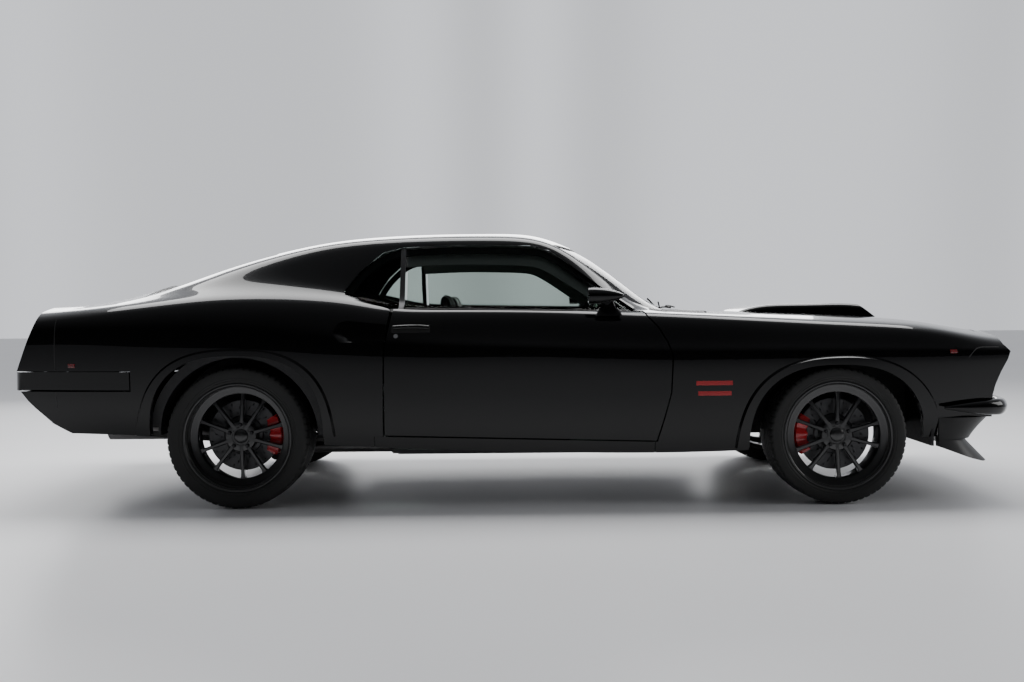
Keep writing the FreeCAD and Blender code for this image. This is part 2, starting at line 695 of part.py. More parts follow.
def door():
    """The left door: the whole wall between the outer skin and the trim."""
    inner = door_outline(0.0)
    bevelled = []
    for x, z in inner:
        shift = DOOR_REAR_BEVEL if x < 0 else 0.0
        bevelled.append(Vec(x + shift, DOOR_INNER_TOP_Y - 10, z))
    outer_y = 890.0
    outside = [Vec(x, outer_y, z) for x, z in inner]
    wedge = Part.makeLoft([polygon(bevelled), polygon(outside)], True, True)
    wall = [(DOOR_INNER_LOW_Y, 250), (1000, 250), (1000, BELT_REAR_Z + 1), (DOOR_INNER_TOP_Y, BELT_REAR_Z + 1),
            (DOOR_INNER_TOP_Y, 860), (DOOR_INNER_LOW_Y, 640)]
    solid = OUTER.common(wedge).common(prism_x(wall, -700, 900))
    swing = Part.makeCylinder(DOOR_SWING_RADIUS, 700, Vec(DOOR_AXIS_X, DOOR_AXIS_Y, 200))
    solid = solid.cut(swing)
    handle = block(-545, -385, 845, 880, 808, 830)
    return fused([solid, handle, door_mirror()] + [door_arm(z0) for z0 in DOOR_HINGE_ZS])


def door_mirror():
    """A body-coloured bullet mirror on a short foot."""
    foot = prism_y([(385, 870), (490, 870), (455, 955), (415, 955)], 800, 840)
    shell = Part.makeCone(30, 62, 120, Vec(500, 838, 960), Vec(-1, 0.12, 0))
    nose = Part.makeSphere(30, Vec(500, 838, 960))
    return fused([foot, shell, nose])


def hood():
    shell = OUTER.common(prism_z(hood_plan(0.0), 500, 1200)).cut(LID_INNER)
    arm = lift_arm(HOOD_AXIS_X, HOOD_HINGE_Y, HOOD_AXIS_Z, HOOD_ARM)
    return fused([shell.common(nose_keep(PANEL_GAP)), arm, mirrored(arm)])


def hood_scoop():
    """A wide scoop on the hood, open at the front, lower and narrower at the rear."""
    outer = []
    inner = []
    for x, half, top, base in ((1862, 262, 880, 760), (1780, 268, 906, 760), (1640, 268, 916, 760),
                               (1400, 262, 914, 760), (1150, 235, 878, 760)):
        outer.append(rounded_section(x, half, base, top, 26.0))
    for x, half, top, base in ((1900, 240, 893, 700), (1780, 246, 893, 700), (1640, 246, 900, 700),
                               (1420, 236, 895, 700)):
        inner.append(rounded_section(x, half, base, top, 18.0))
    shell = Part.makeLoft(outer, True, False)
    shell = shell.cut(Part.makeLoft(inner, True, False))
    lip = prism_y([(1728, 930), (1880, 815), (1950, 815), (1950, 930)], -400, 400)
    shell = shell.cut(lip)
    return shell.cut(OUTER)


def rounded_section(x, half, base, top, corner):
    """A closed upright section at x: flat foot, rounded upper corners."""
    k = corner * (1 - math.sqrt(0.5))
    left = Vec(x, half, base)
    right = Vec(x, -half, base)
    edges = [Part.makeLine(right, left)]
    edges.append(Part.makeLine(left, Vec(x, half, top - corner)))
    edges.append(Part.Arc(Vec(x, half, top - corner), Vec(x, half - k, top - k),
                          Vec(x, half - corner, top)).toShape())
    edges.append(Part.makeLine(Vec(x, half - corner, top), Vec(x, corner - half, top)))
    edges.append(Part.Arc(Vec(x, corner - half, top), Vec(x, k - half, top - k),
                          Vec(x, -half, top - corner)).toShape())
    edges.append(Part.makeLine(Vec(x, -half, top - corner), right))
    return Part.Wire(edges)


def trunk_lid():
    """The lid with the ducktail: a full skin, and an inner frame set back from its front edge."""
    skin = OUTER.common(prism_z(lid_plan(0.0), 700, 1200)).cut(GLASS_OUTER)
    frame = GLASS_OUTER.common(prism_z(lid_plan(0.0, -16.0), 700, 1200)).cut(LID_INNER)
    shell = skin.fuse(frame)
    shell = shell.common(tail_keep(0.0)).common(block(-2500, -1700, -700, 700, 905, 1200))
    arm = lift_arm(LID_AXIS_X, LID_HINGE_Y, LID_AXIS_Z, LID_ARM)
    return fused([shell, arm, mirrored(arm)])


# Nose and tail.

def nose_panel():
    """The frame between hood, fenders and bumper, with the grille opening."""
    slab = OUTER.common(nose_keep()).cut(nose_keep(70.0))
    slab = slab.common(block(2000, 2500, -HOOD_FRONT_HALF, HOOD_FRONT_HALF, 478, 900))
    slab = slab.cut(prism_z(hood_plan(PANEL_GAP), 745, 1200))
    half = HOOD_FRONT_HALF - 14
    return slab.cut(block(2000, 2500, -half, half, GRILLE_LOW_Z, GRILLE_TOP_Z))


def headlamps():
    """Four round lamps, each with its bowl and a domed lens."""
    lamps = []
    for y, face_x in ((OUTER_LAMP_Y, 2222.0), (INNER_LAMP_Y, 2262.0)):
        for side in (-1, 1):
            centre = Vec(face_x - 70, side * y, LAMP_Z)
            body = Part.makeCylinder(LAMP_RADIUS, 60, centre, Vec(1, 0, 0))
            ring = Part.makeCylinder(LAMP_RIM, 26, Vec(face_x - 50, side * y, LAMP_Z), Vec(1, 0, 0))
            ball_radius = 190.0
            ball = Part.makeSphere(ball_radius, Vec(face_x - ball_radius, side * y, LAMP_Z))
            drum = Part.makeCylinder(LAMP_RADIUS, 100, centre, Vec(1, 0, 0))
            lamps.append(fused([body, ring, ball.common(drum)]))
    return Part.makeCompound(lamps)


def plan_band(low, inset, z0, z1, lean=0.0, high=None):
    """A curved band seen in plan, from the left end round the nose to the right."""
    loops = []
    for z, shift, points in ((z0, 0.0, low), (z1, lean, high or low)):
        outer = [Vec(x + shift, y, z) for x, y in points]
        outer += [Vec(x + shift, -y, z) for x, y in reversed(points[:-1])]
        inner = []
        for i, (x, y) in enumerate(points):
            before = points[max(i - 1, 0)]
            after = points[min(i + 1, len(points) - 1)]
            dx = after[0] - before[0]
            dy = after[1] - before[1]
            size = math.hypot(dx, dy)
            if i == len(points) - 1:
                inner.append(Vec(x + shift - math.copysign(inset, points[-1][0]), 0, z))
            else:
                side = math.copysign(1.0, points[-1][0])
                inner.append(Vec(x + shift + side * inset * dy / size, y - side * inset * dx / size, z))
        inner_all = inner + [Vec(p.x, -p.y, p.z) for p in reversed(inner[:-1])]
        first = curve(outer)
        second = curve(inner_all)
        ends = [Part.makeLine(outer[0], inner_all[0]), Part.makeLine(outer[-1], inner_all[-1])]
        loops.append(Part.Wire(Part.__sortEdges__([first, ends[0], second, ends[1]])))
    return Part.makeLoft(loops, True, True)


def nose_x(y, z):
    """Where the nose profile stands at y and z."""
    line = [(pz, px) for px, pz in reversed(NOSE_PROFILE[2:])]
    for (z0, x0), (z1, x1) in zip(line, line[1:]):
        if z <= z1:
            return x0 + (x1 - x0) * (z - z0) / (z1 - z0) + bow(y, NOSE_BOW)
    return line[-1][1] + bow(y, NOSE_BOW)


GRILLE_DEPTH = 40.0
GRILLE_BAR = 12.0
SLAT_PITCH = 22.0
SLAT_HEIGHT = 6.0


def grille():
    """Thin slats that follow the nose, with uprights behind them and rings round the inner lamps."""
    half = HOOD_FRONT_HALF - 14 - SEAT_GAP
    pieces = []
    z = GRILLE_LOW_Z + 10
    while z < GRILLE_TOP_Z - SLAT_HEIGHT:
        front = []
        for step in range(9):
            y = half * (1 - step / 8.0)
            front.append((nose_x(y, z) - GRILLE_DEPTH, y))
        pieces.append(plan_band(front, GRILLE_BAR, z, z + SLAT_HEIGHT))
        z += SLAT_PITCH
    for y in (-half + 4, -385.0, -190.0, 0.0, 190.0, 385.0, half - 4):
        low = nose_x(y, GRILLE_LOW_Z) - GRILLE_DEPTH
        high = nose_x(y, GRILLE_TOP_Z) - GRILLE_DEPTH
        z0 = GRILLE_LOW_Z + SEAT_GAP
        z1 = GRILLE_TOP_Z - SEAT_GAP
        side = [(low - 4, z0), (high - 4, z1), (high - 24, z1), (low - 24, z0)]
        pieces.append(prism_y(side, y - 4, y + 4))
    for side in (-1, 1):
        y = side * INNER_LAMP_Y
        face_x = nose_x(y, LAMP_Z) - GRILLE_DEPTH
        ring = Part.makeCylinder(LAMP_RIM + 6, 26, Vec(face_x - 20, y, LAMP_Z), Vec(1, 0, 0))
        hole = Part.makeCylinder(LAMP_RIM + SEAT_GAP, 80, Vec(face_x - 50, y, LAMP_Z), Vec(1, 0, 0))
        pieces = [p.cut(hole) for p in pieces]
        pieces.append(ring.cut(hole))
    return fused(pieces)


FRONT_BUMPER_PLAN = [(1972, 840), (2080, 834), (2180, 820), (2268, 786), (2318, 706), (2346, 480),
                     (2366, 240), (2380, 0)]
BUMPER_LOW_Z = 390.0
VALANCE_TOP_Z = 384.7
VALANCE_REAR_X = 1957.0
BUMPER_TOP_Z = 472.0


def front_bumper():
    """A slim blade, thinner where it wraps round the fenders."""
    blade = plan_band(FRONT_BUMPER_PLAN, 34.0, BUMPER_LOW_Z, BUMPER_TOP_Z)
    side = [(1960, 430), (1990, 450), (2120, 455), (2210, BUMPER_TOP_Z + 1), (2420, BUMPER_TOP_Z + 1),
            (2420, BUMPER_LOW_Z - 1), (2120, 398), (1990, 412)]
    blade = blade.common(prism_y(side, -900, 900))
    return largest(blade.cut(OUTER.common(nose_keep())))


def front_valance():
    """The apron under the bumper, and the chin spoiler that juts out below it."""
    start = VALANCE_REAR_X
    apron_plan = [(start, 800), (2030, 796), (2090, 770), (2130, 710), (2160, 560), (2190, 300), (2202, 0)]
    top_plan = [(start, 800), (2060, 796), (2150, 776), (2216, 712), (2256, 560), (2288, 300), (2302, 0)]
    apron = plan_band(apron_plan, 14.0, 286.0, VALANCE_TOP_Z, 0.0, top_plan)
    root_plan = [(start, 797), (2010, 792), (2062, 764), (2096, 700), (2128, 556), (2160, 300), (2172, 0)]
    lip_plan = [(1960, 806), (2060, 800), (2140, 778), (2204, 712), (2252, 560), (2292, 300), (2308, 0)]
    blade = plan_band(lip_plan, 44.0, 172.0, 300.0, 0.0, root_plan)
    side = [(start, 302), (start, 252), (1984, 243), (2115, 195), (2185, 176), (2240, 172), (2400, 172),
            (2400, 302)]
    blade = blade.common(prism_y(side, -900, 900))
    return largest(fused([apron, blade]))


REAR_BUMPER_PLAN = [(-1750, 880), (-1950, 866), (-2140, 840), (-2252, 806), (-2304, 760), (-2328, 690),
                    (-2352, 480), (-2372, 240), (-2380, 0)]


def rear_bumper():
    blade = plan_band(REAR_BUMPER_PLAN, 40.0, 545.0, 630.0)
    seat_face = OUTER.common(tail_keep(36.0 - SEAT_GAP)).common(block(-2500, -1745, -700, 700, 500, 700))
    return blade.cut(seat_face).cut(OUTER.common(tail_keep()).cut(block(-2500, -1745, -1000, 1000, 540, 634)))


def tail_panel():
    """The concave panel with the lamp openings, and the valance under the bumper."""
    half = LID_REAR_HALF + PANEL_GAP
    slab = OUTER.common(tail_keep()).cut(tail_keep(40.0))
    panel = slab.common(block(-2500, -1900, -half, half, 400, 899))
    hollow = tail_keep(30.0).common(block(-2500, -2000, -half + 12, half - 12, 660, 880))
    wide = block(-2500, -2000, -half + 12, half - 12, 660, 880)
    panel = panel.cut(wide.cut(hollow))
    for y in LAMP_CENTRES:
        for side in (-1, 1):
            panel = panel.cut(block(-2500, -2000, side * y - 42, side * y + 42, 690, 850))
    panel = panel.cut(block(-2500, -2000, -1000, 1000, 541, 634).cut(tail_keep(36.0)))
    for side in (-1, 1):
        hole = Part.makeCylinder(PLATE_HOLE_RADIUS, 400, Vec(-2500, side * PLATE_HOLE_PITCH / 2, PLATE_Z),
                                 Vec(1, 0, 0))
        panel = panel.cut(hole)
    return panel


LAMP_CENTRES = (270.0, 375.0, 480.0)


def tail_lamps():
    lamps = []
    for y in LAMP_CENTRES:
        for side in (-1, 1):
            lamp = block(-2500, -2000, side * y - 41.7, side * y + 41.7, 690.3, 849.7)
            lamps.append(lamp.common(tail_keep(14.0)).cut(tail_keep(60.0)))
    return Part.makeCompound(lamps)


# Structure under the skin.

def floor_pan():
    top = [(-640, 398), (-600, 300), (-560, FLOOR_Z + FLOOR_SHEET), (740, FLOOR_Z + FLOOR_SHEET), (905, 470)]
    thick = [(x - 4, z - FLOOR_SHEET) for x, z in reversed(top)]
    pan = prism_y(top + thick, -744, 744)
    hump = [(-TUNNEL_HALF, 200), (-TUNNEL_HALF, 360), (-80, TUNNEL_TOP), (80, TUNNEL_TOP),
            (TUNNEL_HALF, 360), (TUNNEL_HALF, 200)]
    inner = [(y * 0.9, z - FLOOR_SHEET) for y, z in hump]
    tunnel = prism_x(hump, -640, 905)
    hollow = prism_x(inner, -700, 1000)
    pan = pan.fuse(tunnel).cut(hollow)
    rail = block(-560, 780, 480, 540, 205, FLOOR_Z + 3)
    return pan.fuse([rail, mirrored(rail)]).cut(block(-700, 1000, -800, 800, 0, 204))


def rocker_panels():
    """The sills: a painted face under the door, running on inside fender and quarter."""
    inner_y = 744 + SEAT_GAP
    face = OUTER.common(prism_y([(-636, 325), (-636, 150), (642, 150), (642, 291)], inner_y, 1000))
    front = INNER_SEAT.common(prism_y([(642, 291), (642, 150), (1055, 150), (1055, 284)], inner_y, 1000))
    rear = INNER_SEAT.common(prism_y([(-845, 341), (-845, 150), (-636, 150), (-636, 325)], inner_y, 1000))
    return both_sides(fused([face, front, rear]))


def front_structure():
    """Firewall, cowl, aprons, rails and radiator support."""
    wall = prism_y([(910, 470), (926, 470), (926, 900), (910, 900)], -750, 750).common(LID_INNER)
    wall = wall.cut(prism_z(hood_plan(PANEL_GAP), 700, 1200))
    for side in (-1, 1):
        y = side * HOOD_HINGE_Y
        wall = wall.cut(block(900, 940, y - 15, y + 15, HOOD_AXIS_Z - 72, 900))
    rail = block(926, 2150, RAIL_INNER_Y, RAIL_OUTER_Y, RAIL_LOW_Z, RAIL_TOP_Z)
    foot = prism_y([(926, RAIL_LOW_Z), (926, 520), (910, 520), (862, 410), (862, 380)],
                   RAIL_INNER_Y, RAIL_OUTER_Y)
    apron = block(926, 2115, RAIL_OUTER_Y, RAIL_OUTER_Y + 12, RAIL_LOW_Z, 700)
    shelf = block(926, 2115, RAIL_OUTER_Y + 12, 900, 690, 702)
    support = block(2115, 2130, -640, 640, 340, 745).cut(block(2100, 2150, -330, 330, 400, 700))
    splash = block(1925, 1937, RAIL_OUTER_Y, 790, 255, 696)
    cowl = OUTER.common(cowl_region()).cut(LID_INNER)
    cowl = cowl.cut(prism_z(mirrored_plan(WINDSHIELD_PLAN), 800, 1400)).cut(roof_region())
    inside = fused([wall, rail, mirrored(rail), apron, mirrored(apron), shelf, mirrored(shelf), support,
                    splash, mirrored(splash)])
    inside = inside.cut(SHELL_KEEP_OUT)
    bracket = lift_bracket(HOOD_AXIS_X, HOOD_HINGE_Y, HOOD_AXIS_Z, HOOD_AXIS_Z - 12, HOOD_AXIS_Z + 26)
    bracket = bracket.common(OUTER)
    pillar = hinge_pillar()
    return largest(fused([inside, cowl, bracket, mirrored(bracket), pillar, mirrored(pillar)]))


def rear_rail():
    line = [(-645, 384), (-1000, 394), (-1100, 458), (-1454, 458), (-1564, 388), (-2190, 388),
            (-2190, 340), (-1545, 340), (-1440, 412), (-1110, 412), (-1010, 345), (-645, 335)]
    return prism_y(line, 440, 500)


def rear_structure():
    """Wheelhouses, seat pan, boot floor, bulkhead, parcel shelf and rails."""
    house = Part.makeCylinder(378, 400, Vec(REAR_AXLE_X, 552, REAR_TYRE_RADIUS), Vec(0, 1, 0))
    room = Part.makeCylinder(366, 500, Vec(REAR_AXLE_X, 562, REAR_TYRE_RADIUS), Vec(0, 1, 0))
    below = block(-1800, -700, 500, 1000, 0, 330)
    slot = block(REAR_AXLE_X - 56, REAR_AXLE_X + 56, 540, 580, 320, 420)
    lip = Part.makeCylinder(410, 120, Vec(REAR_AXLE_X, 800, REAR_TYRE_RADIUS), Vec(0, 1, 0))
    lip = lip.cut(block(-850, -600, 700, 1000, 0, 800))
    house = house.fuse(lip).cut(below).cut(room).cut(slot)
    pan = prism_y([(-644.3, 400), (-1000, 410), (-1100, 470), (-1460, 470), (-1570, 400), (-2190, 400),
                   (-2190, 388), (-1564, 388), (-1454, 458), (-1104, 458), (-1004, 396), (-644.3, 386)],
                  -552, 552)
    side_floor = block(-2150, -1640, 552, 900, 388, 400)
    bulkhead = prism_y([(-1130, 470), (-1142, 470), (-1260, 925), (-1248, 925)], -552, 552)
    shelf = prism_y([(-1250, 925), (-1250, 913), (-1791, 846), (-1791, 858)], -600, 600)
    rail = rear_rail()
    body = fused([house, mirrored(house), pan, side_floor, mirrored(side_floor), bulkhead, shelf,
                  rail, mirrored(rail)])
    bracket = lift_bracket(LID_AXIS_X, LID_HINGE_Y, LID_AXIS_Z, 860, LID_AXIS_Z + 12)
    return largest(fused([body.common(INNER_SEAT), rear_deck(), bracket, mirrored(bracket)]))


def rear_deck():
    """The narrow panel between the rear window and the lid, on its upright flange."""
    half = 480.0 - SEAT_GAP
    strip_top = OUTER.common(block(-1860, -1700, -half, half, 880, 1100)).cut(LID_INNER)
    strip_top = strip_top.cut(prism_z(mirrored_plan(REAR_WINDOW_PLAN), 900, 1400))
    strip_top = strip_top.cut(prism_z(lid_plan(PANEL_GAP, LID_FRONT_GAP), 700, 1400))
    flange = block(-1791, -1779, -half, half, 848, 1100).common(OUTER)
    flange = flange.cut(prism_z(lid_plan(PANEL_GAP, LID_FRONT_GAP), 910, 1400))
    for side in (-1, 1):
        y = side * LID_HINGE_Y
        flange = flange.cut(block(-1800, -1770, y - 15, y + 15, LID_AXIS_Z - 100, LID_AXIS_Z + 4))
    return fused([strip_top, flange])


# Cabin.

def dashboard():
    profile = [(700, 640), (560, 640), (500, 700), (490, 800), (540, 868), (640, 872), (760, 850),
               (760, 700)]
    pad = prism_y(profile, -672, 672).common(INNER_SEAT)
    column = rod(Vec(620, STEERING_Y, 690), Vec(432, STEERING_Y, 762), 26)
    return fused([pad, column])


def steering_wheel():
    """Rim, three spokes and hub, square to the column."""
    axis = Vec(432 - 620, 0, 762 - 690)
    axis.normalize()
    hub_point = Vec(432, STEERING_Y, 762) + axis * SEAT_GAP
    rim = Part.makeTorus(STEERING_WHEEL_RADIUS, 13, Vec(0, 0, 0), Vec(0, 0, 1))
    hub = Part.makeCylinder(30, 34, Vec(0, 0, -26), Vec(0, 0, 1))
    spokes = []
    for angle in (0, 180, 270):
        spoke = block(0, STEERING_WHEEL_RADIUS, -11, 11, -4, 3)
        spoke.rotate(Vec(0, 0, 0), Vec(0, 0, 1), angle + 90)
        spokes.append(spoke)
    wheel = fused([rim, hub] + spokes)
    turn = FreeCAD.Rotation(Vec(0, 0, 1), axis)
    wheel.Placement = FreeCAD.Placement(hub_point + axis * 26, turn)
    return wheel


def seat(x, y):
    """One bucket seat: cushion with side rolls and a tall back."""
    foot = FLOOR_Z + FLOOR_SHEET + SEAT_GAP
    base = prism_y([(x - 250, foot), (x + 200, foot), (x + 215, 330), (x - 250, 330)], y - 170, y + 170)
    cushion = prism_y([(x - 260, 330), (x + 230, 330), (x + 262, 380), (x + 240, 440), (x - 200, 400),
                       (x - 260, 395)], y - 240, y + 240)
    back = prism_y([(x - 290, 380), (x - 180, 380), (x - 265, 640), (x - 330, 860), (x - 355, 1010),
                    (x - 400, 1015), (x - 430, 990), (x - 400, 700)], y - 232, y + 232)
    taper = prism_x([(y - 240, 200), (y + 240, 200), (y + 240, 760), (y + 150, 930), (y + 120, 1100),
                     (y - 120, 1100), (y - 150, 930), (y - 240, 760)], x - 500, x + 400)
    return fused([base, cushion, back]).common(taper)


def front_seats():
    return both_sides(seat(60.0, 385.0))


def rear_seat():
    bench = prism_y([(-670, 402), (-998, 411), (-1060, 448), (-1060, 470), (-700, 490), (-660, 460)],
                    -545, 545)
    back = prism_y([(-1050, 450), (-1100, 471), (-1128, 483), (-1236, 885), (-1140, 880), (-1020, 510),
                    (-1020, 455)],
                   -545, 545)
    return fused([bench, back])


# Engine, exhaust and running gear.

def engine():
    """One plain block at the engine's place, with its mounts and the gearbox behind it."""
    profile = [(-150, 250), (150, 250), (190, 420), (330, 560), (300, 690), (120, 740),
               (-120, 740), (-300, 690), (-330, 560), (-190, 420)]
    core = prism_x(profile, ENGINE_REAR_X, ENGINE_FRONT_X)
    gearbox = Part.makeCone(96, 66, GEARBOX_LENGTH, Vec(ENGINE_REAR_X, 0, 300), Vec(-1, 0, 0))
    mount = block(1300, 1380, 180, RAIL_INNER_Y - SEAT_GAP, 370, 410)
    return fused([core, gearbox, mount, mirrored(mount)])


EXHAUST_RADIUS = 28.0
MUFFLER_RADIUS = 60.0


def exhaust():
    """Twin pipes under the floor and the axle, with a muffler and a round tip each."""
    route = [Vec(1180, 191, 300), Vec(1080, 191, 290), Vec(900, 205, 203), Vec(-1150, 205, 203),
             Vec(-1700, 300, 320)]
    pipe = bent_rod(route, EXHAUST_RADIUS)
    muffler = Part.makeCylinder(MUFFLER_RADIUS, 330, Vec(-1700, 300, 320), Vec(-1, 0, 0))
    tip = Part.makeCylinder(32, 190, Vec(-2030, 300, 335), Vec(-1, 0, 0.06))
    hanger = block(-1900, -1880, 290, 310, 370, 388 - SEAT_GAP)
    solid = fused([pipe, muffler, tip, hanger])
    bore = Part.makeCylinder(EXHAUST_RADIUS, 120, Vec(-2110, 300, 339.8), Vec(-1, 0, 0.06))
    return both_sides(solid.cut(bore))


def front_suspension():
    """Crossmember under the engine, lower and upper arms, and coil struts."""
    x0 = FRONT_AXLE_X - 60
    x1 = FRONT_AXLE_X + 60
    cross = block(x0, x1, -RAIL_OUTER_Y, RAIL_OUTER_Y, 196, 240)
    riser = block(x0, x1, RAIL_INNER_Y, RAIL_OUTER_Y, 240, RAIL_LOW_Z - SEAT_GAP)
    arm = prism_z([(x0, RAIL_OUTER_Y), (x1, RAIL_OUTER_Y), (FRONT_AXLE_X + 20, KINGPIN_Y),
                   (FRONT_AXLE_X - 20, KINGPIN_Y)], 200, 222)
    eye = Part.makeCylinder(24, 22, Vec(FRONT_AXLE_X, KINGPIN_Y, 200), Vec(0, 0, 1))
    arm = fused([arm, eye]).cut(Part.makeCylinder(PIN_RADIUS + SEAT_GAP, 60, Vec(FRONT_AXLE_X, KINGPIN_Y, 180),
                                                  Vec(0, 0, 1)))
    upper = prism_z([(x0 + 20, RAIL_OUTER_Y + 12 + SEAT_GAP), (x1 - 20, RAIL_OUTER_Y + 12 + SEAT_GAP),
                     (FRONT_AXLE_X + 16, KINGPIN_Y), (FRONT_AXLE_X - 16, KINGPIN_Y)], 452, 470)
    ring = Part.makeCylinder(20, 18, Vec(FRONT_AXLE_X, KINGPIN_Y, 452), Vec(0, 0, 1))
    upper = fused([upper, ring]).cut(Part.makeCylinder(PIN_RADIUS + SEAT_GAP, 80,
                                                       Vec(FRONT_AXLE_X, KINGPIN_Y, 430), Vec(0, 0, 1)))
    left = fused([riser, arm, upper])
    return fused([cross, left, mirrored(left)])


def rear_axle():
    """Axle tube, differential, driveshaft, leaf springs and the fixed rear calipers."""
    z = REAR_TYRE_RADIUS
    face_y = WHEEL_OUTER_Y - REAR_HUB_RECESS
    flange_y = face_y - HUB_DEPTH - ROTOR_CLEARANCE
    tube = rod(Vec(REAR_AXLE_X, -flange_y, z), Vec(REAR_AXLE_X, flange_y, z), 40)
    ball = Part.makeSphere(122, Vec(REAR_AXLE_X, 0, z))
    stub = rod(Vec(REAR_AXLE_X, flange_y - 1, z), Vec(REAR_AXLE_X, face_y - 30, z), STUB_RADIUS)
    gearbox_end = ENGINE_REAR_X - GEARBOX_LENGTH - SEAT_GAP
    shaft = rod(Vec(gearbox_end + 20, 0, 300), Vec(REAR_AXLE_X + 60, 0, z), 34)
    shaft = shaft.cut(block(gearbox_end, gearbox_end + 60, -60, 60, 240, 360))
    spring = leaf_spring()
    clip = caliper(REAR_AXLE_X, z, face_y, 1).fuse(block(REAR_AXLE_X, REAR_AXLE_X + 110, flange_y - 22,
                                                         flange_y - 2, z - 30, z + 30))
    left = fused([stub, spring, clip])
    return fused([tube, ball, shaft, left, mirrored(left)])


def leaf_spring():
    """The left leaf pack under the axle, with its two hangers."""
    low = [(-690, 300), (-980, 276), (REAR_AXLE_X, 262), (-1560, 276), (-1930, 312)]
    high = [(x, z + 22) for x, z in low]
    lower = curve([Vec(x, 452, z) for x, z in low])
    upper = curve([Vec(x, 452, z) for x, z in high])
    ends = [Part.makeLine(Vec(low[0][0], 452, low[0][1]), Vec(high[0][0], 452, high[0][1])),
            Part.makeLine(Vec(low[-1][0], 452, low[-1][1]), Vec(high[-1][0], 452, high[-1][1]))]
    outline = Part.Wire(Part.__sortEdges__([lower, ends[0], upper, ends[1]]))
    pack = Part.Face(outline).extrude(Vec(0, 36, 0))
    front = block(-712, -672, 452, 488, 300, 360)
    rear = block(-1950, -1912, 452, 488, 312, 360)
    pad = block(REAR_AXLE_X - 40, REAR_AXLE_X + 40, 452, 488, 262, REAR_TYRE_RADIUS)
    return fused([pack, front, rear, pad]).cut(rear_rail())


KINGPIN_Y = WHEEL_OUTER_Y - FRONT_TYRE_WIDTH / 2 - KINGPIN_INSET
PIN_RADIUS = 11.0
HUB_DEPTH = 86.0
ROTOR_CLEARANCE = 5.0
CALIPER_INNER_RADIUS = 100.0
CALIPER_OUTER_RADIUS = 184.0


def sector(x, z, y0, y1, radius, side, half_angle):
    """A wedge about the wheel's axle, ahead of it (side 1) or behind it (side -1)."""
    drum = Part.makeCylinder(radius, y1 - y0, Vec(x, y0, z), Vec(0, 1, 0))
    reach = radius * 1.2
    spread = reach * math.tan(math.radians(half_angle))
    wedge = prism_y([(x, z), (x + side * reach, z + spread), (x + side * reach, z - spread)], y0, y1)
    return drum.common(wedge)


def caliper(x, z, face_y, side):
    """A brake caliper that bridges the disc's rim without touching it."""
    disc_outer = face_y - HUB_DEPTH + DISC_THICKNESS
    disc_inner = face_y - HUB_DEPTH
    y0 = disc_inner - 26
    y1 = disc_outer + 24
    body = sector(x, z, y0, y1, CALIPER_OUTER_RADIUS, side, 27.0)
    body = body.cut(Part.makeCylinder(CALIPER_INNER_RADIUS, 200, Vec(x, y0 - 50, z), Vec(0, 1, 0)))
    slot = Part.makeCylinder(DISC_RADIUS + ROTOR_CLEARANCE, disc_outer - disc_inner + 2 * ROTOR_CLEARANCE,
                             Vec(x, disc_inner - ROTOR_CLEARANCE, z), Vec(0, 1, 0))
    return body.cut(slot)


def knuckle():
    """The left upright with its kingpin ends, stub axle and caliper."""
    x = FRONT_AXLE_X
    y = KINGPIN_Y
    z = FRONT_TYRE_RADIUS
    face_y = WHEEL_OUTER_Y - FRONT_HUB_RECESS
    post = block(x - 24, x + 24, y - 16, y + 16, 222 + SEAT_GAP, 452 - SEAT_GAP)
    pin = rod(Vec(x, y, 202), Vec(x, y, 468), PIN_RADIUS)
    stub = rod(Vec(x, y, z), Vec(x, face_y - 30, z), STUB_RADIUS)
    bracket = block(x - 120, x, y - 8, y + 14, z - 30, z + 30)
    return fused([post, pin, stub, bracket, caliper(x, z, face_y, -1)])


# Wheels and tyres.

def tyre(x, radius, width):
    """A low tyre with square shoulders, its beads against the rim's flanges."""
    half = width / 2
    bead = half - FLANGE_INSET - FLANGE_WALL - SEAT_GAP
    profile = [(-bead, BEAD_RADIUS), (-bead, RIM_RADIUS + 2), (-half, radius - 34), (-half + 4, radius - 10),
               (-half + 16, radius), (half - 16, radius), (half - 4, radius - 10), (half, radius - 34),
               (bead, RIM_RADIUS + 2), (bead, BEAD_RADIUS)]
    ring = turned(profile, WHEEL_OUTER_Y - half)
    ring.translate(Vec(x, 0, radius))
    return ring


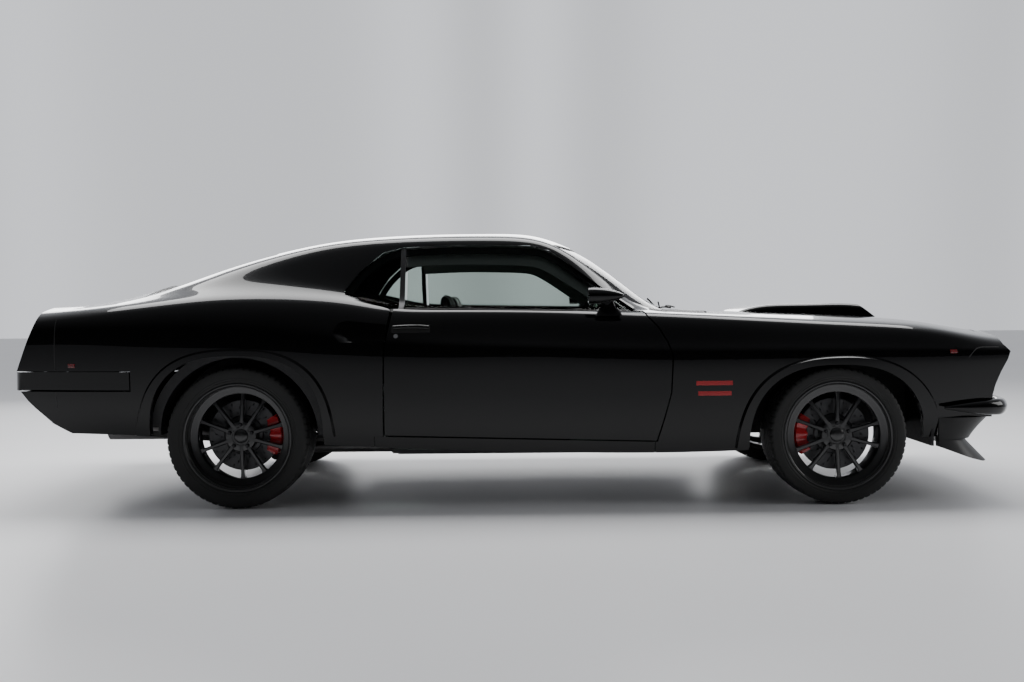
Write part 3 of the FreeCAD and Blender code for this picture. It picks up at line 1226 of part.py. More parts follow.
def wheel(x, radius, width, hub_recess):
    """Rim barrel, ten thin spokes in pairs, hub and brake disc."""
    half = width / 2
    centre = WHEEL_OUTER_Y - half
    edge = half - FLANGE_INSET
    seat_r = BEAD_RADIUS - SEAT_GAP
    inside_r = seat_r - RIM_WALL
    barrel = [(-edge, RIM_RADIUS), (-edge, inside_r), (edge, inside_r), (edge, RIM_RADIUS),
              (edge - FLANGE_WALL, RIM_RADIUS), (edge - FLANGE_WALL, seat_r),
              (-edge + FLANGE_WALL, seat_r), (-edge + FLANGE_WALL, RIM_RADIUS)]
    rim = turned(barrel, centre)
    face_y = WHEEL_OUTER_Y - hub_recess
    hub = Part.makeCylinder(HUB_RADIUS, HUB_DEPTH, Vec(0, face_y - HUB_DEPTH, 0), Vec(0, 1, 0))
    bars = []
    outer_r = inside_r + 1
    for pair in range(SPOKE_PAIRS):
        for side in (-1, 1):
            angle = 90 + pair * 360.0 / SPOKE_PAIRS + side * SPOKE_SPREAD_DEG / 2
            bar = prism_y([(-SPOKE_WIDTH / 2, 40), (SPOKE_WIDTH / 2, 40), (SPOKE_WIDTH / 2.4, outer_r),
                           (-SPOKE_WIDTH / 2.4, outer_r)], face_y - SPOKE_DEPTH, face_y)
            bar.rotate(Vec(0, 0, 0), Vec(0, 1, 0), angle)
            bars.append(bar)
    disc = Part.makeCylinder(DISC_RADIUS, DISC_THICKNESS, Vec(0, face_y - HUB_DEPTH, 0), Vec(0, 1, 0))
    solid = fused([rim, hub, disc] + bars)
    bore = Part.makeCylinder(STUB_RADIUS + SEAT_GAP, HUB_DEPTH - 24, Vec(0, face_y - HUB_DEPTH, 0),
                             Vec(0, 1, 0))
    solid = solid.cut(bore)
    solid.translate(Vec(x, 0, radius))
    return solid


FLANGE_INSET = 6.0
FLANGE_WALL = 8.0

# Everything is built and written, one file a piece.

OUTER = body_solid(0)
FLARE_SKIN = body_solid(-FLARE_STAND)
INNER_SKIN = body_solid(SKIN)
INNER_SEAT = body_solid(SKIN + SEAT_GAP)
LID_INNER = body_solid(LID_SKIN)
GLASS_OUTER = body_solid(GLASS_RECESS)
GLASS_INNER = body_solid(GLASS_RECESS + GLASS)
SHELL_KEEP_OUT = OUTER.cut(INNER_SEAT).cut(cowl_region())


def save(name, shape):
    """Write one piece to its own file."""
    solids = shape.Solids
    piece = solids[0] if len(solids) == 1 else Part.makeCompound(solids)
    piece.exportStep("parts/" + name + ".step")


def save_pair(name, left):
    save(name + "_left", left)
    save(name + "_right", mirrored(left))


save("floor_pan", floor_pan())
save("rocker_panels", rocker_panels())
save("front_structure", front_structure())
save("rear_structure", rear_structure())
save_pair("front_fender", front_fender())
save_pair("quarter_panel", quarter_panel())
save("roof_panel", roof_panel())
save("tail_panel", tail_panel())
save("tail_lamps", tail_lamps())
save("nose_panel", nose_panel())
save("grille", grille())
save("headlamps", headlamps())
save("front_bumper", front_bumper())
save("rear_bumper", rear_bumper())
save("front_valance", front_valance())
save("windshield", windshield())
save("rear_window", rear_window())
save("quarter_glass", quarter_glass())
save("dashboard", dashboard())
save("front_seats", front_seats())
save("rear_seat", rear_seat())
save("engine", engine())
save("exhaust", exhaust())
save("front_suspension", front_suspension())
save("rear_axle", rear_axle())
save("hood", hood())
save("hood_scoop", hood_scoop())
save("trunk_lid", trunk_lid())
save_pair("door", door())
save_pair("door_glass", door_glass())
save("steering_wheel", steering_wheel())
save_pair("knuckle", knuckle())
save_pair("front_wheel", wheel(FRONT_AXLE_X, FRONT_TYRE_RADIUS, FRONT_TYRE_WIDTH, FRONT_HUB_RECESS))
save_pair("rear_wheel", wheel(REAR_AXLE_X, REAR_TYRE_RADIUS, REAR_TYRE_WIDTH, REAR_HUB_RECESS))
save_pair("front_tyre", tyre(FRONT_AXLE_X, FRONT_TYRE_RADIUS, FRONT_TYRE_WIDTH))
save_pair("rear_tyre", tyre(REAR_AXLE_X, REAR_TYRE_RADIUS, REAR_TYRE_WIDTH))
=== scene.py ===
import math

import bmesh
import bpy
import numpy as np
from mathutils import Matrix, Vector


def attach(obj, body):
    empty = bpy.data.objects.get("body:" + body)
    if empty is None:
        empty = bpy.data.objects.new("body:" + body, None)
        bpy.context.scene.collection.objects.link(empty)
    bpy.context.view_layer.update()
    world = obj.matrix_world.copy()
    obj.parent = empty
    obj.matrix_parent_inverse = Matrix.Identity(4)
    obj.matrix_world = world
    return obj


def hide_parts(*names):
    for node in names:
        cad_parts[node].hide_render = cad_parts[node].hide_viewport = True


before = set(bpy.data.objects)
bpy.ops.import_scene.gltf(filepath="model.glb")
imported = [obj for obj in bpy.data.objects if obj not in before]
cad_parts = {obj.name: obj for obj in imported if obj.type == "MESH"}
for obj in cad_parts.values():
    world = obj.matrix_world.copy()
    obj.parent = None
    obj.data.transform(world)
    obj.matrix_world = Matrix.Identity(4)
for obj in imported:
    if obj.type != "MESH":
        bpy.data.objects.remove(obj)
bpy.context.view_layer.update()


# The view: a camera at standing height, square to the car's right side.
# It has the field of the photograph and a slight turn about its own axis.

CAMERA_PLACE = (-0.011, -6.06, 0.92)
CAMERA_LENS = 40.15
CAMERA_SHIFT = (0.0013, -0.0349)
CAMERA_ROLL = math.radians(-0.48)

camera_data = bpy.data.cameras.new("camera")
camera_data.lens = CAMERA_LENS
camera_data.sensor_width = 36.0
camera_data.shift_x, camera_data.shift_y = CAMERA_SHIFT
camera = bpy.data.objects.new("camera", camera_data)
facing = Matrix.Rotation(math.pi / 2, 4, "X") @ Matrix.Rotation(CAMERA_ROLL, 4, "Z")
camera.matrix_world = Matrix.Translation(CAMERA_PLACE) @ facing
bpy.context.scene.collection.objects.link(camera)
bpy.context.scene.camera = camera


# Finishes: every surface is one glossy shader, with its unevenness worked out by nodes.
# A wrapped socket takes part in sums, and a finish builds its material from them.

class Wire:
    """A shader socket that can be added, taken away and multiplied as a number."""

    def __init__(self, tree, socket):
        self.tree = tree
        self.socket = socket

    def math(self, operation, other, swapped=False):
        """The result of one operation on this value and another, or on this one alone."""
        node = self.tree.nodes.new("ShaderNodeMath")
        node.operation = operation
        pair = (other, self) if swapped else (self, other)
        for slot, value in zip(node.inputs, pair):
            if isinstance(value, Wire):
                self.tree.links.new(value.socket, slot)
            elif value is not None:
                slot.default_value = value
        return Wire(self.tree, node.outputs[0])

    def __add__(self, other):
        return self.math("ADD", other)

    def __sub__(self, other):
        return self.math("SUBTRACT", other)

    def __mul__(self, other):
        return self.math("MULTIPLY", other)

    def __radd__(self, other):
        return self.math("ADD", other)

    def __rsub__(self, other):
        return self.math("SUBTRACT", other, swapped=True)

    def __rmul__(self, other):
        return self.math("MULTIPLY", other)

    def limit(self, low, high):
        """The value, held between low and high."""
        return self.math("MAXIMUM", low).math("MINIMUM", high)

    def wave(self):
        """The value's sine."""
        return self.math("SINE", None)


class Finish:
    """A material with one glossy shader, and nodes added by type, settings and sockets."""

    def __init__(self, name, **uniform):
        self.material = bpy.data.materials.new(name)
        self.material.use_nodes = True
        self.tree = self.material.node_tree
        self.shader = self.tree.nodes["Principled BSDF"]
        for key, value in uniform.items():
            self.shader.inputs[key.replace("_", " ")].default_value = value

    def node(self, kind, settings=None, sockets=None, output=0):
        """One of the node's outputs, once its settings and sockets are filled in."""
        node = self.tree.nodes.new("ShaderNode" + kind)
        for key, value in (settings or {}).items():
            setattr(node, key, value)
        for key, value in (sockets or {}).items():
            if isinstance(value, Wire):
                self.tree.links.new(value.socket, node.inputs[key])
            else:
                node.inputs[key].default_value = value
        return Wire(self.tree, node.outputs[output])

    def feed(self, **wires):
        """Wires led into the shader's sockets of the same names."""
        for key, value in wires.items():
            self.tree.links.new(value.socket, self.shader.inputs[key.replace("_", " ")])

    def place(self, x=1.0, y=1.0, z=1.0):
        """The point on the piece, in metres, stretched along each axis."""
        here = self.node("TexCoord", output=3)
        return self.node("Mapping", None, {"Vector": here, "Scale": (x, y, z)})

    def cloudy(self, scale, detail=3.0, where=None):
        """Soft noise from 0 to 1, with the given number of patches to the metre."""
        sockets = {"Scale": scale, "Detail": detail, "Vector": where or self.place()}
        return self.node("TexNoise", None, sockets)

    def relief(self, height, strength, distance):
        """Fine unevenness that only tilts the light."""
        bump = self.node("Bump", None, {"Height": height, "Strength": strength, "Distance": distance})
        self.feed(Normal=bump)

    def between(self, mask, one, other):
        """A colour that runs from one to other with the mask."""
        sockets = {0: mask, 6: one, 7: other}
        return self.node("Mix", {"data_type": "RGBA"}, sockets, output=2)


def join_piece(name, points, faces, finish, body, sharp=35.0, replaces=()):
    """A mesh piece that rides on a body, smooth but for its corners."""
    mesh = bpy.data.meshes.new(name)
    mesh.from_pydata([tuple(p) for p in points], [], [tuple(f) for f in faces])
    mesh.validate()
    build = bmesh.new()
    build.from_mesh(mesh)
    bmesh.ops.recalc_face_normals(build, faces=build.faces)
    build.to_mesh(mesh)
    build.free()
    mesh.shade_smooth()
    mesh.set_sharp_from_angle(angle=math.radians(sharp))
    piece = bpy.data.objects.new(name, mesh)
    bpy.context.scene.collection.objects.link(piece)
    piece.data.materials.append(finish.material)
    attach(piece, body)
    if replaces:
        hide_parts(*replaces)
    return piece


# Floor and light: a pale floor, with soft lights above, behind and ahead of the car.
# The sky is pale beyond the car and dark on the camera's side, which keeps the black sides deep.

FLOOR_HALF = 30.0
FLOOR_TONES = ((0.70, 0.70, 0.71, 1), (0.77, 0.77, 0.78, 1))
SKY_COLOUR = (0.93, 0.95, 1.0, 1.0)
NEAR_LEVEL = 0.030
OVERHEAD_FROM = 0.38
OVERHEAD_LEVEL = 0.45

floor_finish = Finish("studio_floor", Roughness=0.38, Specular_IOR_Level=0.35)
floor_tone = floor_finish.cloudy(0.6)
floor_finish.feed(Base_Color=floor_finish.between(floor_tone, *FLOOR_TONES))
floor_mesh = bpy.data.meshes.new("floor")
floor_mesh.from_pydata([(-FLOOR_HALF, -FLOOR_HALF, 0), (FLOOR_HALF, -FLOOR_HALF, 0),
                        (FLOOR_HALF, FLOOR_HALF, 0), (-FLOOR_HALF, FLOOR_HALF, 0)], [], [(0, 1, 2, 3)])
floor = bpy.data.objects.new("floor", floor_mesh)
floor.data.materials.append(floor_finish.material)
bpy.context.scene.collection.objects.link(floor)

world = bpy.data.worlds.new("studio")
world.use_nodes = True
bpy.context.scene.world = world
sky = world.node_tree
background = sky.nodes["Background"]
direction = sky.nodes.new("ShaderNodeTexCoord")
split = sky.nodes.new("ShaderNodeSeparateXYZ")
sky.links.new(direction.outputs["Generated"], split.inputs[0])
height = Wire(sky, split.outputs[2])
behind = Wire(sky, split.outputs[1])
side = Wire(sky, split.outputs[0])
folds = (side * 34.0 + (side * 13.0).wave() * 2.2).wave() * 0.5 + 0.5
room = (behind + 0.25).limit(0.0, 1.0)
overhead = (height - OVERHEAD_FROM).limit(0.0, 1.0) * OVERHEAD_LEVEL
level = NEAR_LEVEL + room * (0.80 + folds * 0.16) + overhead
sky.links.new(level.socket, background.inputs["Strength"])
background.inputs["Color"].default_value = SKY_COLOUR


def soft_light(name, place, target, width, depth, power):
    """A broad panel of light at a place, turned to its target."""
    data = bpy.data.lights.new(name, "AREA")
    data.shape = "RECTANGLE"
    data.size = width
    data.size_y = depth
    data.energy = power
    lamp = bpy.data.objects.new(name, data)
    aim = (Vector(target) - Vector(place)).to_track_quat("-Z", "Y")
    lamp.matrix_world = Matrix.Translation(place) @ aim.to_matrix().to_4x4()
    bpy.context.scene.collection.objects.link(lamp)


soft_light("light_ceiling", (0.0, 1.0, 4.4), (0.0, 0.4, 0.0), 7.5, 2.4, 380.0)
soft_light("light_back", (-1.0, 5.5, 2.6), (0.0, 0.0, 0.8), 9.0, 2.0, 260.0)
soft_light("light_front", (7.0, -1.5, 2.4), (1.5, 0.0, 0.6), 2.4, 2.4, 90.0)


# Paint: gloss black over smooth primer, polished, with the faint ripple of sprayed clear coat.
# The chin and grille are black moulded plastic, and the underside has a sprayed coating.

paint = Finish("paint_black", Base_Color=(0.0012, 0.0012, 0.0014, 1), Roughness=0.22,
               Coat_Weight=1.0, Coat_Roughness=0.012, Coat_IOR=1.36, Specular_IOR_Level=0.06)
paint.feed(Roughness=0.16 + paint.cloudy(160.0, 1.0) * 0.10)

plastic = Finish("grille_plastic", Base_Color=(0.010, 0.010, 0.010, 1), Roughness=0.45)
plastic.feed(Roughness=0.36 + plastic.cloudy(240.0, 3.0) * 0.22)

under = Finish("underbody_black", Base_Color=(0.012, 0.012, 0.013, 1), Roughness=0.6)
spray = under.cloudy(90.0, 4.0)
under.feed(Roughness=0.45 + spray * 0.3)
under.relief(spray, 0.35, 0.002)


# The body's surface: the same long lines as the shell, from sill to centreline.
# Every painted panel, trim strip and pane is laid on it.

SILL = [(-2.45, 0.69, 0.35), (-1.9, 0.8, 0.342), (-1.27, 0.832, 0.315), (-0.6, 0.838, 0.273),
        (0.64, 0.836, 0.24), (1.48, 0.812, 0.262), (1.9, 0.785, 0.298), (2.2, 0.735, 0.3),
        (2.45, 0.69, 0.315)]
TUCK = [(-2.45, 0.725, 0.44), (-1.9, 0.836, 0.44), (-1.27, 0.862, 0.42), (-0.6, 0.866, 0.4),
        (0.64, 0.864, 0.38), (1.48, 0.842, 0.385), (1.9, 0.815, 0.4), (2.2, 0.768, 0.405),
        (2.45, 0.72, 0.41)]
LOW_SIDE = [(-2.45, 0.755, 0.56), (-1.9, 0.856, 0.57), (-1.27, 0.88, 0.565), (-0.6, 0.88, 0.56),
            (0.64, 0.878, 0.545), (1.48, 0.862, 0.545), (1.9, 0.84, 0.545), (2.2, 0.796, 0.545),
            (2.45, 0.748, 0.545)]
CREASE = [(-2.45, 0.765, 0.7), (-1.9, 0.864, 0.712), (-1.27, 0.89, 0.724), (-0.8, 0.889, 0.728),
          (0, 0.89, 0.722), (0.64, 0.888, 0.702), (1.48, 0.876, 0.693), (1.9, 0.854, 0.69),
          (2.2, 0.812, 0.686), (2.45, 0.768, 0.684)]
CREASE_TOP = [(-2.45, 0.766, 0.77), (-1.9, 0.865, 0.788), (-1.27, 0.886, 0.8), (-0.8, 0.874, 0.796),
              (-0.3, 0.866, 0.77), (0, 0.872, 0.75), (0.64, 0.868, 0.733), (1.48, 0.857, 0.723),
              (1.9, 0.837, 0.717), (2.2, 0.799, 0.706), (2.45, 0.757, 0.7)]
UPPER_SIDE = [(-2.45, 0.76, 0.815), (-1.9, 0.855, 0.848), (-1.27, 0.868, 0.88), (-0.8, 0.853, 0.858),
              (-0.3, 0.846, 0.836), (0, 0.845, 0.828), (0.64, 0.846, 0.802), (1.48, 0.836, 0.774),
              (1.9, 0.82, 0.76), (2.2, 0.784, 0.724), (2.45, 0.742, 0.712)]
SHOULDER = [(-2.45, 0.742, 0.852), (-1.9, 0.828, 0.903), (-1.27, 0.834, 0.956), (-0.8, 0.824, 0.934),
            (-0.56, 0.822, 0.898), (0, 0.822, 0.892), (0.64, 0.822, 0.868), (1.48, 0.812, 0.824),
            (1.9, 0.797, 0.802), (2.2, 0.76, 0.746), (2.45, 0.72, 0.722)]
LEDGE = [(-2.45, 0.7, 0.88), (-1.9, 0.772, 0.928), (-1.27, 0.772, 0.99), (-0.8, 0.768, 0.966),
         (-0.56, 0.772, 0.916), (0, 0.772, 0.908), (0.64, 0.772, 0.884), (1.48, 0.756, 0.842),
         (1.9, 0.738, 0.818), (2.2, 0.704, 0.762), (2.45, 0.67, 0.735)]
VALLEY = [(-2.45, 0.65, 0.896), (-1.9, 0.7, 0.931), (-1.27, 0.706, 1.032), (-0.8, 0.714, 1),
          (-0.56, 0.722, 0.924), (0, 0.722, 0.908), (0.5, 0.722, 0.896), (0.64, 0.71, 0.888),
          (0.95, 0.69, 0.872), (1.48, 0.65, 0.852), (1.9, 0.628, 0.83), (2.2, 0.604, 0.776),
          (2.45, 0.585, 0.745)]
WAIST = [(-2.45, 0.59, 0.908), (-1.9, 0.632, 0.935), (-1.27, 0.652, 1.086), (-0.8, 0.674, 1.085),
         (-0.56, 0.686, 1.02), (0, 0.69, 1), (0.33, 0.688, 0.985), (0.56, 0.676, 0.925),
         (0.68, 0.64, 0.892), (0.95, 0.61, 0.876), (1.48, 0.56, 0.86), (1.9, 0.53, 0.836),
         (2.2, 0.51, 0.784), (2.45, 0.495, 0.752)]
DRIP = [(-2.45, 0.52, 0.918), (-1.9, 0.565, 0.94), (-1.27, 0.604, 1.126), (-0.8, 0.6, 1.218),
        (-0.56, 0.6, 1.228), (0, 0.6, 1.226), (0.15, 0.604, 1.214), (0.4, 0.616, 1.052),
        (0.6, 0.59, 0.918), (0.7, 0.555, 0.894), (0.95, 0.52, 0.88), (1.48, 0.45, 0.864),
        (1.9, 0.42, 0.84), (2.2, 0.4, 0.79), (2.45, 0.39, 0.757)]
ROOF_EDGE = [(-2.45, 0.43, 0.924), (-2.15, 0.452, 0.93), (-1.9, 0.472, 0.95), (-1.27, 0.52, 1.143),
             (-0.8, 0.545, 1.238), (-0.3, 0.545, 1.262), (0, 0.545, 1.262), (0.18, 0.545, 1.224),
             (0.42, 0.545, 1.085), (0.65, 0.51, 0.922), (0.76, 0.48, 0.89), (0.95, 0.44, 0.882),
             (1.48, 0.33, 0.867), (1.9, 0.3, 0.843), (2.2, 0.28, 0.795), (2.45, 0.27, 0.761)]
ROOF_MID = [(-2.45, 0.24, 0.928), (-2.15, 0.245, 0.934), (-1.9, 0.25, 0.979), (-1.27, 0.28, 1.174),
            (-0.8, 0.29, 1.259), (-0.3, 0.29, 1.281), (0.03, 0.29, 1.281), (0.29, 0.29, 1.205),
            (0.56, 0.29, 1.03), (0.735, 0.285, 0.906), (0.82, 0.27, 0.887), (0.95, 0.25, 0.885),
            (1.48, 0.18, 0.869), (1.9, 0.17, 0.845), (2.2, 0.15, 0.799), (2.45, 0.14, 0.764)]
CENTRE = [(-2.45, 0, 0.93), (-2.15, 0, 0.937), (-1.87, 0, 1.02), (-1.477, 0, 1.138), (-1.249, 0, 1.204),
          (-1.019, 0, 1.25), (-0.8, 0, 1.279), (-0.527, 0, 1.294), (-0.2, 0, 1.298), (0.05, 0, 1.296),
          (0.325, 0, 1.214), (0.607, 0, 1.022), (0.76, 0, 0.91), (0.86, 0, 0.887), (0.95, 0, 0.885),
          (1.48, 0, 0.87), (1.9, 0, 0.846), (2.15, 0, 0.812), (2.3, 0, 0.795), (2.45, 0, 0.765)]
LONG_LINES = [SILL, TUCK, LOW_SIDE, CREASE, CREASE_TOP, UPPER_SIDE, SHOULDER, LEDGE, VALLEY, WAIST,
              DRIP, ROOF_EDGE, ROOF_MID, CENTRE]
STATIONS = np.array([-2.45, -2.3, -2.13, -1.9, -1.65, -1.4, -1.15, -0.92, -0.74, -0.56, -0.35, -0.12,
                     0.06, 0.17, 0.27, 0.37, 0.47, 0.57, 0.67, 0.77, 0.87, 1.0, 1.2, 1.45, 1.7, 1.9,
                     2.06, 2.19, 2.31, 2.45])


def smooth_value(xs, values, x):
    """A smooth line without overshoot through points, at each x."""
    xs = np.asarray(xs, float)
    values = np.asarray(values, float)
    slopes = np.diff(values) / np.diff(xs)
    before = slopes[:-1]
    after = slopes[1:]
    both = np.where(before + after == 0, 1, before + after)
    inner = np.where(before * after > 0, 2 * before * after / both, 0.0)
    tangents = np.concatenate([[slopes[0]], inner, [slopes[-1]]])
    i = np.clip(np.searchsorted(xs, x, side="left") - 1, 0, len(slopes) - 1)
    span = xs[i + 1] - xs[i]
    t = np.clip((x - xs[i]) / span, 0, 1)
    start = values[i] * (1 + 2 * t) * (1 - t) ** 2 + tangents[i] * span * t * (1 - t) ** 2
    end = values[i + 1] * t * t * (3 - 2 * t) + tangents[i + 1] * span * t * t * (t - 1)
    return start + end


def body_poles():
    """The surface's poles: each long line at each station, on the left and mirrored on the right."""
    columns = []
    for line in LONG_LINES:
        xs = [p[0] for p in line]
        y = smooth_value(xs, [p[1] for p in line], STATIONS)
        z = smooth_value(xs, [p[2] for p in line], STATIONS)
        columns.append(np.stack([STATIONS, y, z], axis=1))
    right = [c * np.array([1.0, -1.0, 1.0]) for c in reversed(columns[:-1])]
    return np.stack(columns + right, axis=1)


def spline_weights(t, count):
    """The weights of a cubic line's poles at each t, and their slopes."""
    last = count - 3
    knots = np.concatenate([np.zeros(3), np.arange(last + 1), np.full(3, last)]).astype(float)
    t = np.clip(np.asarray(t, float), 0.0, last - 1e-9)[:, None]
    weights = ((t >= knots[:-1]) & (t < knots[1:])).astype(float)
    slopes = None
    for degree in (1, 2, 3):
        n = count + 3 - degree
        first = knots[degree:degree + n] - knots[:n]
        second = knots[degree + 1:degree + 1 + n] - knots[1:1 + n]
        safe_first = np.where(first > 0, first, 1.0)
        safe_second = np.where(second > 0, second, 1.0)
        low = weights[:, :n] * (first > 0)
        high = weights[:, 1:n + 1] * (second > 0)
        if degree == 3:
            slopes = 3 * (low / safe_first - high / safe_second)
        rise = (t - knots[:n]) / safe_first * low
        fall = (knots[degree + 1:degree + 1 + n] - t) / safe_second * high
        weights = rise + fall
    return weights, slopes


POLES = body_poles()
ROWS, COLUMNS = POLES.shape[:2]


def skin_at(u, v):
    """Points of the body's surface, its slope round the section, and its outward normals."""
    wu, su = spline_weights(u, ROWS)
    wv, sv = spline_weights(v, COLUMNS)
    over = np.einsum("ni,ijk->njk", wu, POLES)
    along = np.einsum("ni,ijk->njk", su, POLES)
    point = np.einsum("nj,njk->nk", wv, over)
    round_it = np.einsum("nj,njk->nk", sv, over)
    length = np.einsum("nj,njk->nk", wv, along)
    normal = np.cross(round_it, length)
    normal /= np.linalg.norm(normal, axis=1)[:, None]
    return point, round_it, normal


U_TABLE = np.linspace(0, ROWS - 3, 1200)
X_TABLE = spline_weights(U_TABLE, ROWS)[0] @ POLES[:, 0, 0]
V_TABLE = np.linspace(0, COLUMNS - 3, 361)


def skin_under(points):
    """For each point, the nearest place on the surface in the same cross section."""
    u = np.interp(points[:, 0], X_TABLE, U_TABLE)
    v = np.empty(len(points))
    weights_v = spline_weights(V_TABLE, COLUMNS)[0]
    for start in range(0, len(points), 4000):
        part = slice(start, start + 4000)
        over = np.einsum("ni,ijk->njk", spline_weights(u[part], ROWS)[0], POLES[:, :, 1:])
        ring = np.einsum("mj,njk->nmk", weights_v, over)
        gap = ((ring - points[part, None, 1:]) ** 2).sum(axis=2)
        v[part] = V_TABLE[gap.argmin(axis=1)]
    for _ in range(4):
        place, round_it, normal = skin_at(u, v)
        miss = points[:, 1:] - place[:, 1:]
        slope = round_it[:, 1:]
        v = v + (miss * slope).sum(axis=1) / (slope ** 2).sum(axis=1)
        v = np.clip(v, 0, COLUMNS - 3)
    place, round_it, normal = skin_at(u, v)
    depth = ((points - place) * normal).sum(axis=1)
    return place, normal, depth


def on_side(x, z, lift=0.0):
    """The point on the left side at x and z, lifted off the surface, and the normal there."""
    u = np.full(len(V_TABLE), np.interp(x, X_TABLE, U_TABLE))
    ring = skin_at(u, V_TABLE)[0]
    half = ring[:, 1] >= 0
    heights = np.maximum.accumulate(ring[half, 2])
    v = np.interp(z, heights, V_TABLE[half])
    place, _, normal = skin_at(u[:1], np.array([v]))
    return Vector(place[0] + normal[0] * lift), Vector(normal[0])


# Panels: the pressed and welded body panels, doors, hood and lid.
# Each is redrawn finely on the body's surface, so that its gloss runs unbroken over the shut lines.

PANEL_SPACING = 0.03
SKIN_TOUCH = 0.0006
SKIN_LAYERS = (0.0, 0.016, -0.008, -0.014, -0.02, -0.03)


def split_long(points, tris, layer, limit):
    """Halve each long edge that lies in one layer of the skin, with no cracks between triangles."""
    edges = np.sort(np.concatenate([tris[:, [0, 1]], tris[:, [1, 2]], tris[:, [2, 0]]]), axis=1)
    unique, inverse = np.unique(edges, axis=0, return_inverse=True)
    inverse = inverse.reshape(3, -1).T
    spans = np.linalg.norm(points[unique[:, 0]] - points[unique[:, 1]], axis=1)
    one_layer = (layer[unique[:, 0]] == layer[unique[:, 1]]) & (layer[unique[:, 0]] >= 0)
    marked = (spans > limit) & one_layer
    if not marked.any():
        return points, tris, layer, False
    number = np.full(len(unique), -1)
    number[marked] = len(points) + np.arange(marked.sum())
    middles = points[unique[marked]].mean(axis=1)
    mids = number[inverse]
    code = (mids >= 0) @ np.array([1, 2, 4])
    out = [tris[code == 0]]
    for turn in range(3):
        order = [(turn + k) % 3 for k in range(3)]
        a, b, c = (tris[:, k] for k in order)
        m, n, _ = (mids[:, k] for k in order)
        one = code == (1 << order[0])
        out.append(np.stack([a, m, c], axis=1)[one])
        out.append(np.stack([m, b, c], axis=1)[one])
        two = code == (1 << order[0]) + (1 << order[1])
        out.append(np.stack([m, b, n], axis=1)[two])
        out.append(np.stack([a, m, n], axis=1)[two])
        out.append(np.stack([a, n, c], axis=1)[two])
    every = code == 7
    a, b, c = (tris[every, k] for k in range(3))
    m, n, o = (mids[every, k] for k in range(3))
    for triple in ((a, m, o), (m, b, n), (o, n, c), (m, n, o)):
        out.append(np.stack(triple, axis=1))
    points = np.concatenate([points, middles])
    layer = np.concatenate([layer, layer[unique[marked, 0]]])
    return points, np.concatenate(out), layer, True


def node_triangles(node):
    """The welded points and triangles of a node."""
    build = bmesh.new()
    build.from_mesh(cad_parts[node].data)
    bmesh.ops.remove_doubles(build, verts=build.verts, dist=2e-5)
    bmesh.ops.triangulate(build, faces=build.faces)
    points = np.array([v.co for v in build.verts])
    tris = np.array([[v.index for v in f.verts] for f in build.faces])
    build.free()
    return points, tris


def layers_of(depth):
    """Which of the skin's layers each depth lies in, or -1."""
    gaps = np.abs(depth[:, None] - np.array(SKIN_LAYERS))
    return np.where(gaps.min(axis=1) < SKIN_TOUCH, gaps.argmin(axis=1), -1)


def lay_normals(mesh, normal, smooth):
    """Give the faces that lie in the skin the body surface's own normals at their corners."""
    corners = np.empty(len(mesh.loops) * 3, np.float32)
    mesh.corner_normals.foreach_get("vector", corners)
    corners = corners.reshape(-1, 3)
    faces = np.empty(len(mesh.polygons) * 3, np.float32)
    mesh.polygons.foreach_get("normal", faces)
    faces = np.repeat(faces.reshape(-1, 3), 3, axis=0)
    owners = np.empty(len(mesh.loops), np.int32)
    mesh.loops.foreach_get("vertex_index", owners)
    true_normal = normal[owners]
    smooth_face = smooth[owners].reshape(-1, 3).all(axis=1).repeat(3)
    facing_out = (faces * true_normal).sum(axis=1)
    on_layer = smooth_face & (np.abs(facing_out) > 0.8)
    corners = np.where(on_layer[:, None], true_normal * np.sign(facing_out)[:, None], corners)
    mesh.normals_split_custom_set(corners.tolist())


def panel(node, finish, body, leave_out=None, flush=None):
    """A node redrawn on the body's surface, with true normals on its curved faces."""
    points, tris = node_triangles(node)
    depth = skin_under(points)[2]
    if leave_out is not None:
        tris = tris[~leave_out(points, depth)[tris].any(axis=1)]
    layer = layers_of(depth)
    for _ in range(6):
        count = len(points)
        points, tris, layer, more = split_long(points, tris, layer, PANEL_SPACING)
        if not more:
            break
        place, normal, depth = skin_under(points[count:])
        level = np.array(SKIN_LAYERS)[layer[count:]]
        off = np.abs(depth - level) > 0.004
        points[count:] = np.where(off[:, None], points[count:], place + normal * level[:, None])
        layer[count:] = np.where(off, -1, layer[count:])
    place, normal, depth = skin_under(points)
    if flush is not None:
        proud = (np.abs(points[:, 1]) > 0.6) & (depth > flush)
        points = np.where(proud[:, None], place + normal * flush, points)
        depth = np.where(proud, flush, depth)
    smooth = layers_of(depth) >= 0
    used = np.unique(tris)
    renumber = np.full(len(points), -1)
    renumber[used] = np.arange(len(used))
    mesh = bpy.data.meshes.new(node + "_panel")
    mesh.from_pydata(points[used].tolist(), [], renumber[tris].tolist())
    mesh.shade_smooth()
    mesh.set_sharp_from_angle(angle=math.radians(40))
    lay_normals(mesh, normal[used], smooth[used])
    piece = bpy.data.objects.new(node + "_panel", mesh)
    bpy.context.scene.collection.objects.link(piece)
    piece.data.materials.append(finish.material)
    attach(piece, body)
    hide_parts(node)


def mirror_and_handle(points, depth):
    """Where the door's plain mirror and handle stand, which finer ones take over."""
    x, y, z = points.T
    mirror_box = (x > 0.33) & (x < 0.60) & (np.abs(y) > 0.76) & (z > 0.872)
    handle_box = (x > -0.56) & (x < -0.37) & (z > 0.80) & (z < 0.84) & (np.abs(y) > 0.83)
    return (mirror_box | handle_box) & (depth > 0.0012)


def node_finish(node, finish):
    """A better material on a node that keeps its own shape."""
    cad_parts[node].data.materials.clear()
    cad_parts[node].data.materials.append(finish.material)


